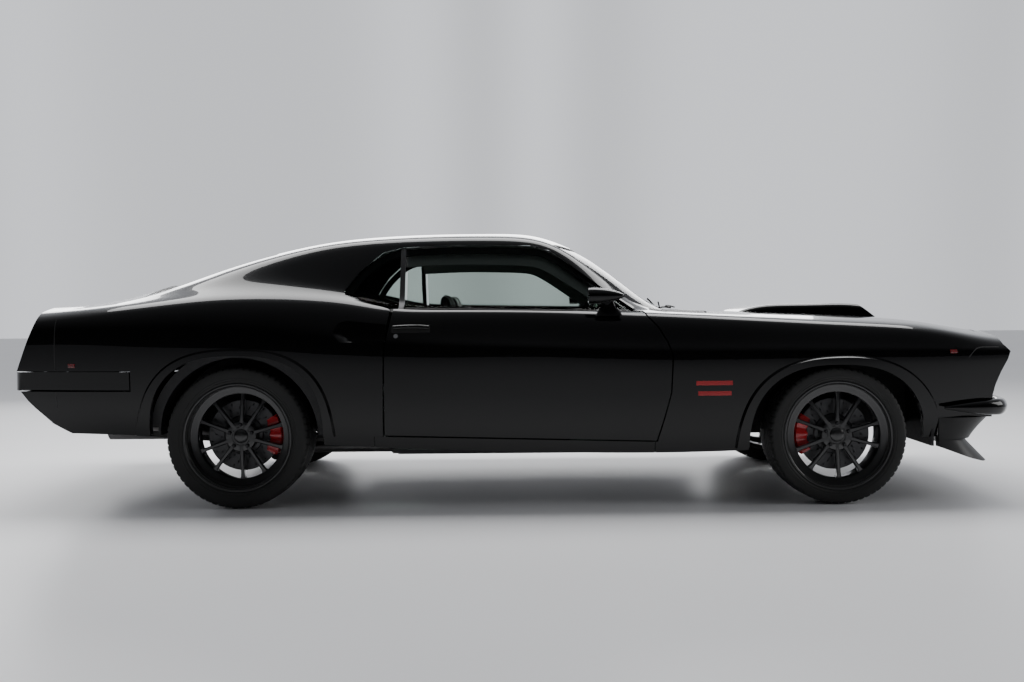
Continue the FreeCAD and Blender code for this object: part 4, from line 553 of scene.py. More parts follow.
SIDES = (("left", 1.0), ("right", -1.0))
for side_name, sign in SIDES:
    panel("front_fender_" + side_name, paint, "body")
    panel("quarter_panel_" + side_name, paint, "body")
    panel("door_" + side_name, paint, "door_" + side_name, leave_out=mirror_and_handle)
for node in ("roof_panel", "nose_panel", "tail_panel", "rocker_panels"):
    panel(node, paint, "body")
panel("rear_bumper", paint, "body", flush=0.0015)
panel("front_valance", plastic, "body")
panel("hood", paint, "hood")
panel("hood_scoop", paint, "hood")
panel("trunk_lid", paint, "trunk_lid")
for node in ("floor_pan", "front_structure", "rear_structure", "front_suspension"):
    node_finish(node, under)


# Glass: laminated windshield with a green tint, clear tempered side and rear glass.
# Each pane is bonded or clamped 8 mm under the body's surface.

def glass_finish(name, tint):
    """Glass that lets the tint through and mirrors more towards its edges."""
    glass = Finish(name, Base_Color=(0.0, 0.0, 0.0, 1), Roughness=0.0, Specular_IOR_Level=0.6)
    through = glass.node("BsdfTransparent", None, {"Color": tint})
    edge = glass.node("Fresnel", None, {"IOR": 1.5})
    both = glass.node("MixShader", None, {0: edge, 1: through, 2: Wire(glass.tree, glass.shader.outputs[0])})
    out = glass.tree.nodes["Material Output"]
    glass.tree.links.new(both.socket, out.inputs["Surface"])
    return glass


clear = glass_finish("glass_clear", (0.80, 0.84, 0.82, 1))
tinted = glass_finish("glass_tinted", (0.62, 0.76, 0.68, 1))
panel("windshield", tinted, "body")
panel("rear_window", tinted, "body")
panel("quarter_glass", clear, "body")
for side_name, sign in SIDES:
    panel("door_glass_" + side_name, clear, "door_" + side_name)


# Tyres: low road tyres with square shoulders, five grooves round the tread and cross cuts at the shoulders.
# Moulded rubber with bare side walls, a rim guard and two fine rings.

WHEEL_OUTER_Y = 0.860
TREAD_PITCHES = 64
PITCH_STEPS = 5
WHEELS = [("front", 1.480, 0.314, 0.245, 0.034), ("rear", -1.263, 0.325, 0.275, 0.078)]

rubber = Finish("tyre_rubber", Base_Color=(0.012, 0.012, 0.012, 1), Roughness=0.7)
grain = rubber.cloudy(420.0, 3.0)
dust = rubber.cloudy(9.0, 4.0)
rubber.feed(Roughness=0.55 + dust * 0.25,
            Base_Color=rubber.between(dust, (0.010, 0.010, 0.010, 1), (0.022, 0.022, 0.021, 1)))
rubber.relief(grain, 0.25, 0.0006)


def loft(rings, count, start=0, looped=False, closed=True, capped=True):
    """The faces between neighbouring rings of count points each, and a cap at both ends."""
    faces = []
    for k in range(rings if looped else rings - 1):
        a = start + k * count
        b = start + (k + 1) % rings * count
        for i in range(count if closed else count - 1):
            j = (i + 1) % count
            faces.append((a + i, a + j, b + j, b + i))
    if capped:
        faces.append(tuple(range(start, start + count)))
        faces.append(tuple(range(start + (rings - 1) * count, start + rings * count)))
    return faces


def turned(profile, centre, segments, closed=True, cut=None, axis=1):
    """A ring about an axle along Y, or along X where axis is 0, from (along, radius) points."""
    points = []
    for k in range(segments):
        angle = 2 * math.pi * k / segments
        for along, r in profile:
            radius = r - cut(k, along, r) if cut else r
            place = [0.0, 0.0, radius * math.sin(angle)]
            place[axis] = along
            place[1 - axis] = radius * math.cos(angle)
            points.append(tuple(c + p for c, p in zip(centre, place)))
    return points, loft(segments, len(profile), looped=True, closed=closed, capped=False)


def tyre_profile(radius, half):
    """One side of the tyre's section, from the middle of the tread to the bead."""
    bead = half - 0.0143
    side = [(0.006, radius - 0.008), (0.006, radius), (0.026, radius - 0.0004), (0.026, radius - 0.008),
            (0.034, radius - 0.008), (0.034, radius - 0.0008), (0.058, radius - 0.0018),
            (0.058, radius - 0.008), (0.066, radius - 0.008), (0.066, radius - 0.0022)]
    for step in range(7):
        turn = math.radians(8 + step * 12)
        side.append((half - 0.018 + 0.0165 * math.sin(turn), radius - 0.0218 + 0.0190 * math.cos(turn)))
    side += [(half - 0.0004, radius - 0.034), (half - 0.0012, 0.2715), (half - 0.0004, 0.2700),
             (half - 0.0018, 0.2685), (half - 0.0030, 0.2625), (half - 0.0018, 0.2605),
             (half - 0.0040, 0.2560), (half - 0.0085, 0.2510), (bead + 0.0085, 0.2476),
             (bead + 0.0003, 0.2455), (bead, 0.2313)]
    return side


for end, axle_x, tyre_radius, tyre_width, hub_recess in WHEELS:
    half_width = tyre_width / 2
    one_side = tyre_profile(tyre_radius, half_width)
    section = [(-y, r) for y, r in reversed(one_side)] + one_side

    def shoulder_cut(k, y, r):
        """How deep the tread's cross cuts go at one point of the section."""
        outer = half_width - 0.048 < abs(y) < half_width - 0.004 and r > tyre_radius - 0.026
        return 0.0045 if outer and k % PITCH_STEPS == 0 else 0.0

    for side_name, sign in SIDES:
        centre = (axle_x, sign * (WHEEL_OUTER_Y - half_width), tyre_radius)
        points, faces = turned(section, centre, TREAD_PITCHES * PITCH_STEPS, cut=shoulder_cut)
        join_piece(end + "_tyre_tread_" + side_name, points, faces, rubber, end + "_wheel_" + side_name,
                   28.0, [end + "_tyre_" + side_name])


# Wheels: deep forged rims painted black, ten thin spokes in five pairs, a hub with a plain cap.
# Five nuts hold each one, and a drilled steel disc turns behind it.

SPOKE_PAIRS = 5
SPOKE_SPREAD = math.radians(31.0)
SPOKE_STATIONS = ((0.040, 0.024, 0.000), (0.066, 0.021, 0.001), (0.095, 0.0175, 0.001),
                  (0.140, 0.0165, 0.000), (0.170, 0.0170, -0.001), (0.188, 0.0200, -0.002),
                  (0.1985, 0.0300, -0.003))
SPOKE_DEPTH = 0.025
SPOKE_BEVEL = 0.0035
HUB_DEPTH = 0.086
DISC_RADIUS = 0.165
DISC_INNER = 0.075
DISC_THICKNESS = 0.024
DISC_EDGE = 0.004
DISC_RING_INSET = 0.018
DISC_ROWS = 3
DISC_SECTORS = 36
HOLE_RADIUS = 0.0042
HOLE_DEPTH = 0.006
NUT_COUNT = 5
NUT_CIRCLE = 0.0535
NUT_RADIUS = 0.0095

rim_finish = Finish("wheel_black", Base_Color=(0.006, 0.006, 0.0065, 1), Roughness=0.3,
                    Coat_Weight=0.7, Coat_Roughness=0.08)
rim_finish.feed(Roughness=0.24 + rim_finish.cloudy(60.0, 2.0) * 0.14)
steel = Finish("disc_steel", Base_Color=(0.30, 0.30, 0.31, 1), Metallic=1.0, Roughness=0.35)
turning = steel.cloudy(30.0, 2.0, steel.place(1.0, 0.2, 1.0))
steel.feed(Roughness=0.30 + turning * 0.22,
           Base_Color=steel.between(turning, (0.045, 0.045, 0.047, 1), (0.11, 0.11, 0.112, 1)))
nut_finish = Finish("nut_black", Base_Color=(0.03, 0.03, 0.032, 1), Metallic=0.6, Roughness=0.3)
nut_finish.feed(Roughness=0.22 + nut_finish.cloudy(200.0, 2.0) * 0.2)


def rim_profile(half, face):
    """The rim's closed section from the outer lip, in over the spokes' ring, along the barrel and back."""
    edge = half - 0.006
    front = [(edge, 0.2470), (edge + 0.0006, 0.2440), (edge - 0.0004, 0.2405), (edge - 0.0040, 0.2372),
             (edge - 0.0120, 0.2352), (edge - 0.0180, 0.2335), (face + 0.0080, 0.2300),
             (face + 0.0050, 0.2200), (face + 0.0040, 0.2080), (face + 0.0010, 0.1990),
             (face - 0.0030, 0.1965), (face - 0.0260, 0.1965), (face - 0.0330, 0.2010),
             (face - 0.0420, 0.2238)]
    back = [(-edge + 0.020, 0.2238), (-edge + 0.004, 0.2290), (-edge, 0.2400), (-edge, 0.2470)]
    outside = [(-edge + 0.007, 0.2470), (-edge + 0.008, 0.2340), (-edge + 0.020, 0.2306),
               (edge - 0.030, 0.2306), (edge - 0.009, 0.2340), (edge - 0.008, 0.2470)]
    return front + back + outside


def spokes(centre, face_y, sign):
    """Ten bars with bevelled edges, from the hub to the barrel."""
    points = []
    faces = []
    for pair in range(SPOKE_PAIRS):
        for lean in (-0.5, 0.5):
            angle = math.pi / 2 + pair * 2 * math.pi / SPOKE_PAIRS + lean * SPOKE_SPREAD
            out = Vector((math.sin(angle), 0, math.cos(angle)))
            across = Vector((math.cos(angle), 0, -math.sin(angle)))
            start = len(points)
            for r, width, rise in SPOKE_STATIONS:
                w = width / 2
                ring = [(-w, -SPOKE_DEPTH), (w, -SPOKE_DEPTH), (w, -SPOKE_BEVEL), (w - SPOKE_BEVEL, 0.0),
                        (SPOKE_BEVEL - w, 0.0), (-w, -SPOKE_BEVEL)]
                for a, d in ring:
                    p = out * r + across * a
                    points.append((centre[0] + p.x, sign * (face_y + rise + d), centre[2] + p.z))
            faces += loft(len(SPOKE_STATIONS), len(ring), start, capped=False)
    return points, faces


def drilled_disc(centre, y_front, y_back):
    """Both flat faces of a disc, every other sector of each ring drilled with a round hole."""
    points = []
    faces = []
    corners = 8
    inner = DISC_INNER + DISC_RING_INSET
    row_width = (DISC_RADIUS - DISC_EDGE - inner) / DISC_ROWS
    for y in (y_front, y_back):
        inward = HOLE_DEPTH if (y == y_front) == (y_front < y_back) else -HOLE_DEPTH
        for row in range(DISC_ROWS):
            r0 = inner + row_width * row
            r1 = r0 + row_width
            rm = (r0 + r1) / 2
            for k in range(DISC_SECTORS):
                a0 = 2 * math.pi * (k + row / DISC_ROWS) / DISC_SECTORS
                a1 = a0 + 2 * math.pi / DISC_SECTORS
                am = (a0 + a1) / 2
                border = [(r0, a0), (r0, am), (r0, a1), (rm, a1), (r1, a1), (r1, am), (r1, a0), (rm, a0)]
                start = len(points)
                points += [(centre[0] + r * math.cos(a), y, centre[2] + r * math.sin(a)) for r, a in border]
                if (k + row) % 2:
                    faces.append(tuple(range(start, start + corners)))
                    continue
                x = centre[0] + rm * math.cos(am)
                z = centre[2] + rm * math.sin(am)
                for depth in (0.0, inward):
                    for i in range(corners):
                        a = am + math.pi * 0.75 + i * 2 * math.pi / corners
                        points.append((x + HOLE_RADIUS * math.cos(a), y + depth,
                                       z + HOLE_RADIUS * math.sin(a)))
                faces += loft(3, corners, start, capped=False)
                faces.append(tuple(range(start + 2 * corners, start + 3 * corners)))
    return points, faces


def nuts(centre, face_y, sign):
    """Five hexagonal nuts with pointed tops."""
    points = []
    faces = []
    for k in range(NUT_COUNT):
        angle = math.pi / 2 + 2 * math.pi * k / NUT_COUNT
        x = centre[0] + NUT_CIRCLE * math.cos(angle)
        z = centre[2] + NUT_CIRCLE * math.sin(angle)
        start = len(points)
        for rise, size in ((-0.010, 1.0), (0.006, 1.0), (0.011, 0.62)):
            for i in range(6):
                a = i * math.pi / 3
                points.append((x + NUT_RADIUS * size * math.cos(a), sign * (face_y + rise),
                               z + NUT_RADIUS * size * math.sin(a)))
        faces += loft(3, 6, start)
    return points, faces


def add_up(*parts):
    """Several sets of points and faces as one."""
    points = []
    faces = []
    for more_points, more_faces in parts:
        base = len(points)
        points += list(more_points)
        faces += [tuple(i + base for i in face) for face in more_faces]
    return points, faces


HUB_PROFILE = [(-0.086, 0.074), (-0.030, 0.074), (-0.006, 0.073), (-0.001, 0.069), (0.0, 0.064),
               (0.0, 0.044), (-0.003, 0.040), (-0.003, 0.033), (0.003, 0.031), (0.007, 0.026),
               (0.009, 0.016), (0.0095, 0.0005)]
for end, axle_x, tyre_radius, tyre_width, hub_recess in WHEELS:
    for side_name, sign in SIDES:
        body = end + "_wheel_" + side_name
        half_width = tyre_width / 2
        centre = (axle_x, 0.0, tyre_radius)
        middle = sign * (WHEEL_OUTER_Y - half_width)
        face_y = WHEEL_OUTER_Y - hub_recess
        section = [(sign * y, r) for y, r in rim_profile(half_width, half_width - hub_recess)]
        rim = turned(section, (axle_x, middle, tyre_radius), 128)
        hub = turned([(sign * y, r) for y, r in HUB_PROFILE], (axle_x, sign * face_y, tyre_radius), 64, False)
        points, faces = add_up(rim, spokes(centre, face_y, sign), hub)
        join_piece(end + "_rim_" + side_name, points, faces, rim_finish, body, 32.0,
                   [end + "_wheel_" + side_name])
        points, faces = nuts(centre, face_y, sign)
        join_piece(end + "_nuts_" + side_name, points, faces, nut_finish, body, 30.0)
        disc_front = face_y - HUB_DEPTH + DISC_THICKNESS
        disc_back = face_y - HUB_DEPTH
        disc_ring = DISC_RADIUS - DISC_EDGE
        bell_ring = DISC_INNER + DISC_RING_INSET
        rim_section = [(disc_front, disc_ring), (disc_front - 0.001, DISC_RADIUS),
                       (disc_front - 0.008, DISC_RADIUS), (disc_front - 0.008, 0.150),
                       (disc_back + 0.008, 0.150), (disc_back + 0.008, DISC_RADIUS),
                       (disc_back + 0.001, DISC_RADIUS), (disc_back, disc_ring)]
        bell_section = [(disc_front, bell_ring), (disc_front + 0.006, DISC_INNER + 0.014),
                        (disc_front + 0.010, DISC_INNER - 0.002)]
        back_section = [(disc_back, bell_ring), (disc_back, DISC_INNER - 0.002)]
        parts = [turned([(sign * y, r) for y, r in section], centre, segments, False)
                 for section, segments in ((rim_section, 96), (bell_section, 64), (back_section, 64))]
        points, faces = add_up(*parts, drilled_disc(centre, sign * disc_front, sign * disc_back))
        join_piece(end + "_disc_" + side_name, points, faces, steel, body, 30.0)


# Calipers: cast aluminium, painted red, bolted behind the front hubs and ahead of the rear ones.
# Three lobes on the outer face hold the pistons.

CALIPER_HALF_ANGLE = math.radians(32.0)
CALIPER_STEPS = 42
caliper_red = Finish("caliper_red", Base_Color=(0.55, 0.006, 0.012, 1), Roughness=0.3, Coat_Weight=0.8,
                     Coat_Roughness=0.05)
caliper_red.feed(Roughness=0.26 + caliper_red.cloudy(70.0, 3.0) * 0.16)
cast = Finish("cast_iron", Base_Color=(0.05, 0.05, 0.05, 1), Metallic=0.6, Roughness=0.6)
cast_grain = cast.cloudy(260.0, 4.0)
cast.feed(Roughness=0.5 + cast_grain * 0.3,
          Base_Color=cast.between(cast_grain, (0.03, 0.03, 0.03, 1), (0.08, 0.078, 0.075, 1)))
cast.relief(cast_grain, 0.4, 0.001)


def caliper(centre, face_y, sign, ahead):
    """A bridge over the disc's edge, with three swellings on each face."""
    points = []
    for k in range(CALIPER_STEPS + 1):
        turn = -CALIPER_HALF_ANGLE + 2 * CALIPER_HALF_ANGLE * k / CALIPER_STEPS
        lobe = 0.5 + 0.5 * math.cos(turn / CALIPER_HALF_ANGLE * 3 * math.pi)
        ends = min(1.0, min(k, CALIPER_STEPS - k) / 4.0)
        swell = 0.006 * lobe * ends
        low = 0.130 - 0.009 * lobe * ends
        top = 0.178 + 0.009 * ends + 0.002 * lobe
        ring = [(low + 0.004, -0.045 + swell), (0.150, -0.044 + swell), (top - 0.010, -0.046 + swell),
                (top, -0.056), (top, -0.100), (top - 0.010, -0.110), (low, -0.112), (low, -0.092),
                (0.1712, -0.092), (0.1712, -0.0568), (low, -0.0568), (low - 0.001, -0.049)]
        for r, y in ring:
            points.append((centre[0] + ahead * r * math.cos(turn), sign * (face_y + y),
                           centre[2] + r * math.sin(turn)))
    return points, loft(CALIPER_STEPS + 1, len(ring))


def caliper_place(axle_x, axle_z, face_y):
    """Where the plain caliper stands, which the painted one takes over."""
    def inside(points, _):
        x, y, z = points.T
        far = np.hypot(x - axle_x, z - axle_z) > 0.098
        return far & (np.abs(y) > face_y - 0.114) & (np.abs(y) < face_y - 0.036)
    return inside


for end, axle_x, tyre_radius, tyre_width, hub_recess in WHEELS:
    face_y = WHEEL_OUTER_Y - hub_recess
    for side_name, sign in SIDES:
        holder = "knuckle_" + side_name if end == "front" else "body"
        ahead = -1.0 if end == "front" else 1.0
        points, faces = caliper((axle_x, 0.0, tyre_radius), face_y, sign, ahead)
        join_piece(end + "_caliper_" + side_name, points, faces, caliper_red, holder, 35.0)
        if end == "front":
            panel("knuckle_" + side_name, cast, holder,
                  caliper_place(axle_x, tyre_radius, face_y))
    if end == "rear":
        panel("rear_axle", cast, "body", caliper_place(axle_x, tyre_radius, face_y))


# Window trim: a wide black band inside the side glass, partly its rubber and partly painted shade of the
# recessed glass, a metal post, and rubber round the front and rear glass.
# Each strip follows the body's surface.

WINDOW_EDGE = [(0.600, 0.892), (0.430, 1.005), (0.176, 1.166), (0.097, 1.188), (-0.269, 1.195),
               (-0.516, 1.184), (-0.609, 1.160), (-0.706, 1.078), (-0.772, 0.992), (-0.766, 0.982),
               (-0.669, 0.948), (-0.579, 0.924), (-0.545, 0.914)]
POST_LINE = [(-0.519, 0.905), (-0.519, 1.199)]
WINDSHIELD_EDGE = [(0.845, 0.25), (0.785, 0.48), (0.69, 0.61), (0.64, 0.645), (0.59, 0.638), (0.40, 0.584),
                   (0.196, 0.545), (0.212, 0.48), (0.29, 0.25), (0.325, 0.0)]
REAR_GLASS_EDGE = [(-1.175, 0.0), (-1.170, 0.30), (-1.150, 0.484), (-1.740, 0.516), (-1.765, 0.30),
                   (-1.772, 0.0)]
SHOULDER_V = 6.0

trim_black = Finish("rubber_black", Base_Color=(0.008, 0.008, 0.008, 1), Roughness=0.5)
trim_black.feed(Roughness=0.42 + trim_black.cloudy(300.0, 3.0) * 0.22)
bright = Finish("bright_metal", Base_Color=(0.55, 0.55, 0.56, 1), Metallic=1.0, Roughness=0.14)
bright.feed(Roughness=0.10 + bright.cloudy(45.0, 2.0) * 0.10)
satin = Finish("satin_metal", Base_Color=(0.07, 0.07, 0.072, 1), Metallic=0.9, Roughness=0.38)
satin.feed(Roughness=0.32 + satin.cloudy(70.0, 2.0) * 0.14)


def on_top(x, y, lift=0.0):
    """The point over the body at x and y, lifted off the surface, and the normal there."""
    upper = V_TABLE[(V_TABLE >= SHOULDER_V) & (V_TABLE <= (COLUMNS - 3) / 2)]
    u = np.full(len(upper), np.interp(x, X_TABLE, U_TABLE))
    ring = skin_at(u, upper)[0]
    v = np.interp(-abs(y), -np.maximum.accumulate(ring[::-1, 1])[::-1], upper)
    place, _, normal = skin_at(u[:1], np.array([v]))
    flip = Vector((1.0, 1.0 if y >= 0 else -1.0, 1.0))
    return Vector(place[0] + normal[0] * lift) * flip, Vector(normal[0]) * flip


def resampled(corners, step, times=2):
    """A line through corners, rounded at each and cut into even steps."""
    line = np.array(corners, float)
    for _ in range(times):
        cut = np.repeat(line, 2, axis=0)[1:-1].reshape(-1, 2, line.shape[1])
        first = cut[:, 0] * 0.8 + cut[:, 1] * 0.2
        second = cut[:, 0] * 0.2 + cut[:, 1] * 0.8
        inner = np.stack([first, second], axis=1).reshape(-1, line.shape[1])
        line = np.concatenate([line[:1], inner, line[-1:]])
    spans = np.concatenate([[0.0], np.cumsum(np.linalg.norm(np.diff(line, axis=0), axis=1))])
    marks = np.linspace(0.0, spans[-1], max(3, int(spans[-1] / step)))
    return np.stack([np.interp(marks, spans, line[:, k]) for k in range(line.shape[1])], axis=1)


def ridge(path, width, rise, sink=0.002):
    """A low rounded strip along (place, normal) pairs."""
    points = []
    section = [(-0.5, -sink), (-0.5, rise * 0.5), (-0.3, rise), (0.3, rise), (0.5, rise * 0.5), (0.5, -sink)]
    for k, (place, normal) in enumerate(path):
        along = path[min(k + 1, len(path) - 1)][0] - path[max(k - 1, 0)][0]
        across = normal.cross(along).normalized()
        for a, b in section:
            points.append(place + across * (a * width) + normal * b)
    return points, loft(len(path), len(section))


def mirrored_path(path):
    """The path's mirror image on the other side."""
    flip = Vector((1.0, -1.0, 1.0))
    return [(place * flip, normal * flip) for place, normal in path]


def on_this_side(path, sign):
    """A path on the left side, or its mirror image on the right."""
    return path if sign > 0 else mirrored_path(path)


def both_ridges(path, width, rise, sink=0.002):
    """A strip on the left side and its mirror image, as one shape."""
    return add_up(ridge(path, width, rise, sink), ridge(mirrored_path(path), width, rise, sink))


def side_path(corners, step, lift):
    """A rounded line on the left side through (x, z) corners, lifted off the surface."""
    return [on_side(x, z, lift) for x, z in resampled(corners, step)]


rubber_and_shade_path = side_path(WINDOW_EDGE, 0.012, -0.0185)
post_path = side_path(POST_LINE, 0.02, -0.0075)
belt_path = side_path([(-0.50, 0.9125), (0.0, 0.9025), (0.545, 0.8915)], 0.02, -0.004)
for side_name, sign in SIDES:
    # The band inside the side glass is black rubber drawn 34 mm wide, so that it also stands in as painted
    # shade where the glass sits recessed.
    points, faces = ridge(on_this_side(rubber_and_shade_path, sign), 0.034, 0.001, 0.006)
    join_piece("window_rubber_and_shade_" + side_name, points, faces, trim_black, "body")
    points, faces = ridge(on_this_side(post_path, sign), 0.024, 0.004, 0.003)
    join_piece("window_post_" + side_name, points, faces, satin, "body")
    points, faces = ridge(on_this_side(belt_path, sign), 0.010, 0.003, 0.004)
    join_piece("belt_rubber_" + side_name, points, faces, trim_black, "door_" + side_name)
for name, edge in (("windshield", WINDSHIELD_EDGE), ("rear_glass", REAR_GLASS_EDGE)):
    half = [on_top(x, y, -0.005) for x, y in resampled(edge, 0.015)]
    points, faces = both_ridges(half, 0.020, 0.003, 0.003)
    join_piece(name + "_rubber", points, faces, trim_black, "body")


# Headliner: pale grey cloth stretched under the roof, and the same cloth over the side rails.
# It stops short of the glass all round.

liner = Finish("headliner_cloth", Base_Color=(0.42, 0.42, 0.42, 1), Roughness=0.9)
liner_weave = liner.cloudy(500.0, 2.0)
liner.feed(Base_Color=liner.between(liner_weave, (0.70, 0.70, 0.69, 1), (0.84, 0.84, 0.83, 1)))
liner.relief(liner_weave, 0.2, 0.0008)
LINER_XS = np.linspace(-1.12, 0.12, 32)
LINER_YS = np.linspace(-0.535, 0.535, 28)
points = []
for lift in (-0.033, -0.037):
    for x in LINER_XS:
        points += [on_top(x, y, lift)[0] for y in LINER_YS]
faces = []
rows = len(LINER_YS)
sheet = len(LINER_XS) * rows
for i in range(len(LINER_XS) - 1):
    for j in range(rows - 1):
        a = i * rows + j
        faces.append((a, a + 1, a + rows + 1, a + rows))
        faces.append((sheet + a, sheet + a + rows, sheet + a + rows + 1, sheet + a + 1))
rim = list(range(rows - 1)) + [i * rows + rows - 1 for i in range(len(LINER_XS) - 1)]
rim += [sheet - 1 - j for j in range(rows - 1)] + [i * rows for i in range(len(LINER_XS) - 1, 0, -1)]
for k, a in enumerate(rim):
    b = rim[(k + 1) % len(rim)]
    faces.append((a, b, sheet + b, sheet + a))
join_piece("headliner", points, faces, liner, "body")
RAIL_LINE = [(0.440, 0.968), (0.170, 1.135), (0.085, 1.160), (-0.269, 1.168), (-0.516, 1.158)]
rail_path = side_path(RAIL_LINE, 0.02, -0.052)
for side_name, sign in SIDES:
    points, faces = ridge(on_this_side(rail_path, sign), 0.062, 0.004, 0.006)
    join_piece("roof_rail_cloth_" + side_name, points, faces, liner, "body")


# Seats: two low-backed buckets and a rear bench, in black leather over foam.
# Each pad is crowned, pulled in at its corners and sewn in upright channels.

leather = Finish("seat_leather", Base_Color=(0.020, 0.019, 0.018, 1), Roughness=0.45, Specular_IOR_Level=0.45)
hide_sockets = {"Scale": 420.0, "Vector": leather.place()}
hide = leather.node("TexVoronoi", {"feature": "DISTANCE_TO_EDGE"}, hide_sockets)
wear = leather.cloudy(7.0, 4.0)
leather.feed(Roughness=0.36 + wear * 0.24,
             Base_Color=leather.between(wear, (0.016, 0.015, 0.014, 1), (0.034, 0.032, 0.030, 1)))
leather.relief(hide, 0.25, 0.0006)


def cushion(outline, y_middle, half, corner, grooves, face_way):
    """A stuffed pad: a soft side outline carried across, rounded at both ends and grooved on its face."""
    loop = resampled(list(outline) + [outline[0], outline[1]], 0.012, 3)
    ring = loop[:np.linalg.norm(loop[5:] - loop[0], axis=1).argmin() + 5]
    middle = ring.mean(axis=0)
    ahead = np.roll(ring, -1, axis=0) - np.roll(ring, 1, axis=0)
    out = np.stack([ahead[:, 1], -ahead[:, 0]], axis=1)
    out /= np.linalg.norm(out, axis=1)[:, None]
    if ((ring - middle) * out).sum() < 0:
        out = -out
    facing_side = np.clip((out * np.array(face_way)).sum(axis=1), 0.0, 1.0) ** 0.5
    flat = np.linspace(corner - half, half - corner, 110)
    bends = np.linspace(0.0, math.pi / 2, 9)[1:]
    stations = [(corner - half - corner * math.sin(b), corner * (1 - math.cos(b))) for b in reversed(bends)]
    stations += [(y, 0.0) for y in flat]
    stations += [(half - corner + corner * math.sin(b), corner * (1 - math.cos(b))) for b in bends]
    points = []
    for y, pull in stations:
        crown = 0.010 * (1 - (y / half) ** 2) - 0.010
        groove = sum(math.exp(-((y - g) / 0.0045) ** 2) for g in grooves) * 0.009
        nearest = min(abs(y - g) for g in grooves)
        swell = 0.004 * math.cos(math.pi * nearest / 0.03) if abs(y) < half * 0.62 else -0.004
        push = crown - pull - (groove + swell) * facing_side
        for (x, z), (a, b), shift in zip(ring, out, push):
            points.append((x + a * shift, y_middle + y, z + b * shift))
    return points, loft(len(stations), len(ring))


SEAT_X = 0.060
SEAT_Y = 0.385
CUSHION_SIDE = [(SEAT_X - 0.250, 0.335), (SEAT_X + 0.228, 0.335), (SEAT_X + 0.258, 0.380),
                (SEAT_X + 0.236, 0.436), (SEAT_X - 0.190, 0.402), (SEAT_X - 0.254, 0.396)]
BACK_SIDE = [(SEAT_X - 0.288, 0.400), (SEAT_X - 0.190, 0.405), (SEAT_X - 0.270, 0.640),
             (SEAT_X - 0.334, 0.850), (SEAT_X - 0.362, 0.960), (SEAT_X - 0.400, 0.975),
             (SEAT_X - 0.420, 0.940), (SEAT_X - 0.394, 0.700)]
BENCH_SIDE = [(-0.672, 0.406), (-0.998, 0.414), (-1.050, 0.440), (-1.050, 0.464), (-0.700, 0.486),
              (-0.666, 0.458)]
BENCH_BACK_SIDE = [(-1.056, 0.470), (-1.130, 0.500), (-1.232, 0.876), (-1.146, 0.872), (-1.030, 0.520)]
CHANNEL_PITCH = 0.055
CHANNELS = [k * CHANNEL_PITCH for k in range(-2, 3)]
BASE_LOW = 0.2515
BASE_TOP = 0.345
for side_name, sign in SIDES:
    seat_parts = (("cushion", CUSHION_SIDE, 0.234, (0.0, 1.0)), ("back", BACK_SIDE, 0.222, (1.0, 0.3)))
    for part_name, outline, half, face_way in seat_parts:
        points, faces = cushion(outline, sign * SEAT_Y, half, 0.030, CHANNELS, face_way)
        name = "seat_" + part_name + "_" + side_name
        piece = join_piece(name, points, faces, leather, "body", 40.0, ["front_seats"])
    base = [(SEAT_X + a, sign * SEAT_Y + b, z) for front, z in ((0.20, BASE_LOW), (0.215, BASE_TOP))
            for a, b in ((-0.25, -0.17), (front, -0.17), (front, 0.17), (-0.25, 0.17))]
    join_piece("seat_base_" + side_name, base, loft(2, 4), trim_black, "body")
BENCH_CHANNELS = [k * CHANNEL_PITCH for k in range(-6, 7)]
bench_parts = (("bench", BENCH_SIDE, (0.0, 1.0)), ("bench_back", BENCH_BACK_SIDE, (1.0, 0.3)))
for part_name, outline, face_way in bench_parts:
    points, faces = cushion(outline, 0.0, 0.54, 0.035, BENCH_CHANNELS, face_way)
    piece = join_piece("rear_" + part_name, points, faces, leather, "body", 40.0, ["rear_seat"])


# Cabin fittings: the padded dashboard with its dials, and the steering wheel's finish.
# The dials are plain black faces with bright rings and white needles.

vinyl = Finish("dash_vinyl", Base_Color=(0.015, 0.015, 0.015, 1), Roughness=0.5)
vinyl_grain = vinyl.cloudy(350.0, 3.0)
vinyl.feed(Roughness=0.42 + vinyl_grain * 0.2)
vinyl.relief(vinyl_grain, 0.3, 0.0006)
needle_white = Finish("needle_white", Base_Color=(0.7, 0.7, 0.68, 1), Roughness=0.4)
needle_white.feed(Roughness=0.35 + needle_white.cloudy(50.0) * 0.1)


def round_x(profile, centre):
    """A turned piece about an axis along X, from (x, radius) points."""
    return turned(profile, centre, 64, closed=False, axis=0)


node_finish("dashboard", vinyl)
node_finish("steering_wheel", leather)
DASH_FACE_X = 0.4915
DIAL_Z = 0.785
DIALS = ((0.46, 0.052, 0.5), (0.28, 0.052, -0.4), (0.37, 0.026, 1.2), (0.0, 0.030, 0.2), (-0.09, 0.030, 0.9))
dial_rings = []
dial_faces = []
needles = []
for y, radius, lean in DIALS:
    centre = (DASH_FACE_X, y, DIAL_Z)
    ring = [(0.004, radius), (-0.006, radius), (-0.008, radius - 0.003), (-0.004, radius - 0.006)]
    dial_rings.append(round_x(ring, centre))
    dial_faces.append(round_x([(-0.003, radius - 0.004), (-0.003, 0.0004)], centre))
    tip = (math.sin(lean) * radius * 0.75, math.cos(lean) * radius * 0.75)
    side = (math.cos(lean) * 0.0012, -math.sin(lean) * 0.0012)
    corners = [(side[0], side[1]), (tip[0], tip[1]), (-side[0], -side[1])]
    bars = [(DASH_FACE_X - 0.0045, y + a, DIAL_Z + b) for a, b in corners]
    bars += [(DASH_FACE_X - 0.0035, y + a, DIAL_Z + b) for a, b in corners]
    needles.append((bars, [(0, 1, 2), (5, 4, 3), (0, 3, 4, 1), (1, 4, 5, 2), (2, 5, 3, 0)]))
for name, parts, finish in (("dial_rings", dial_rings, bright), ("dial_faces", dial_faces, trim_black),
                            ("dial_needles", needles, needle_white)):
    points, faces = add_up(*parts)
    join_piece(name, points, faces, finish, "body")


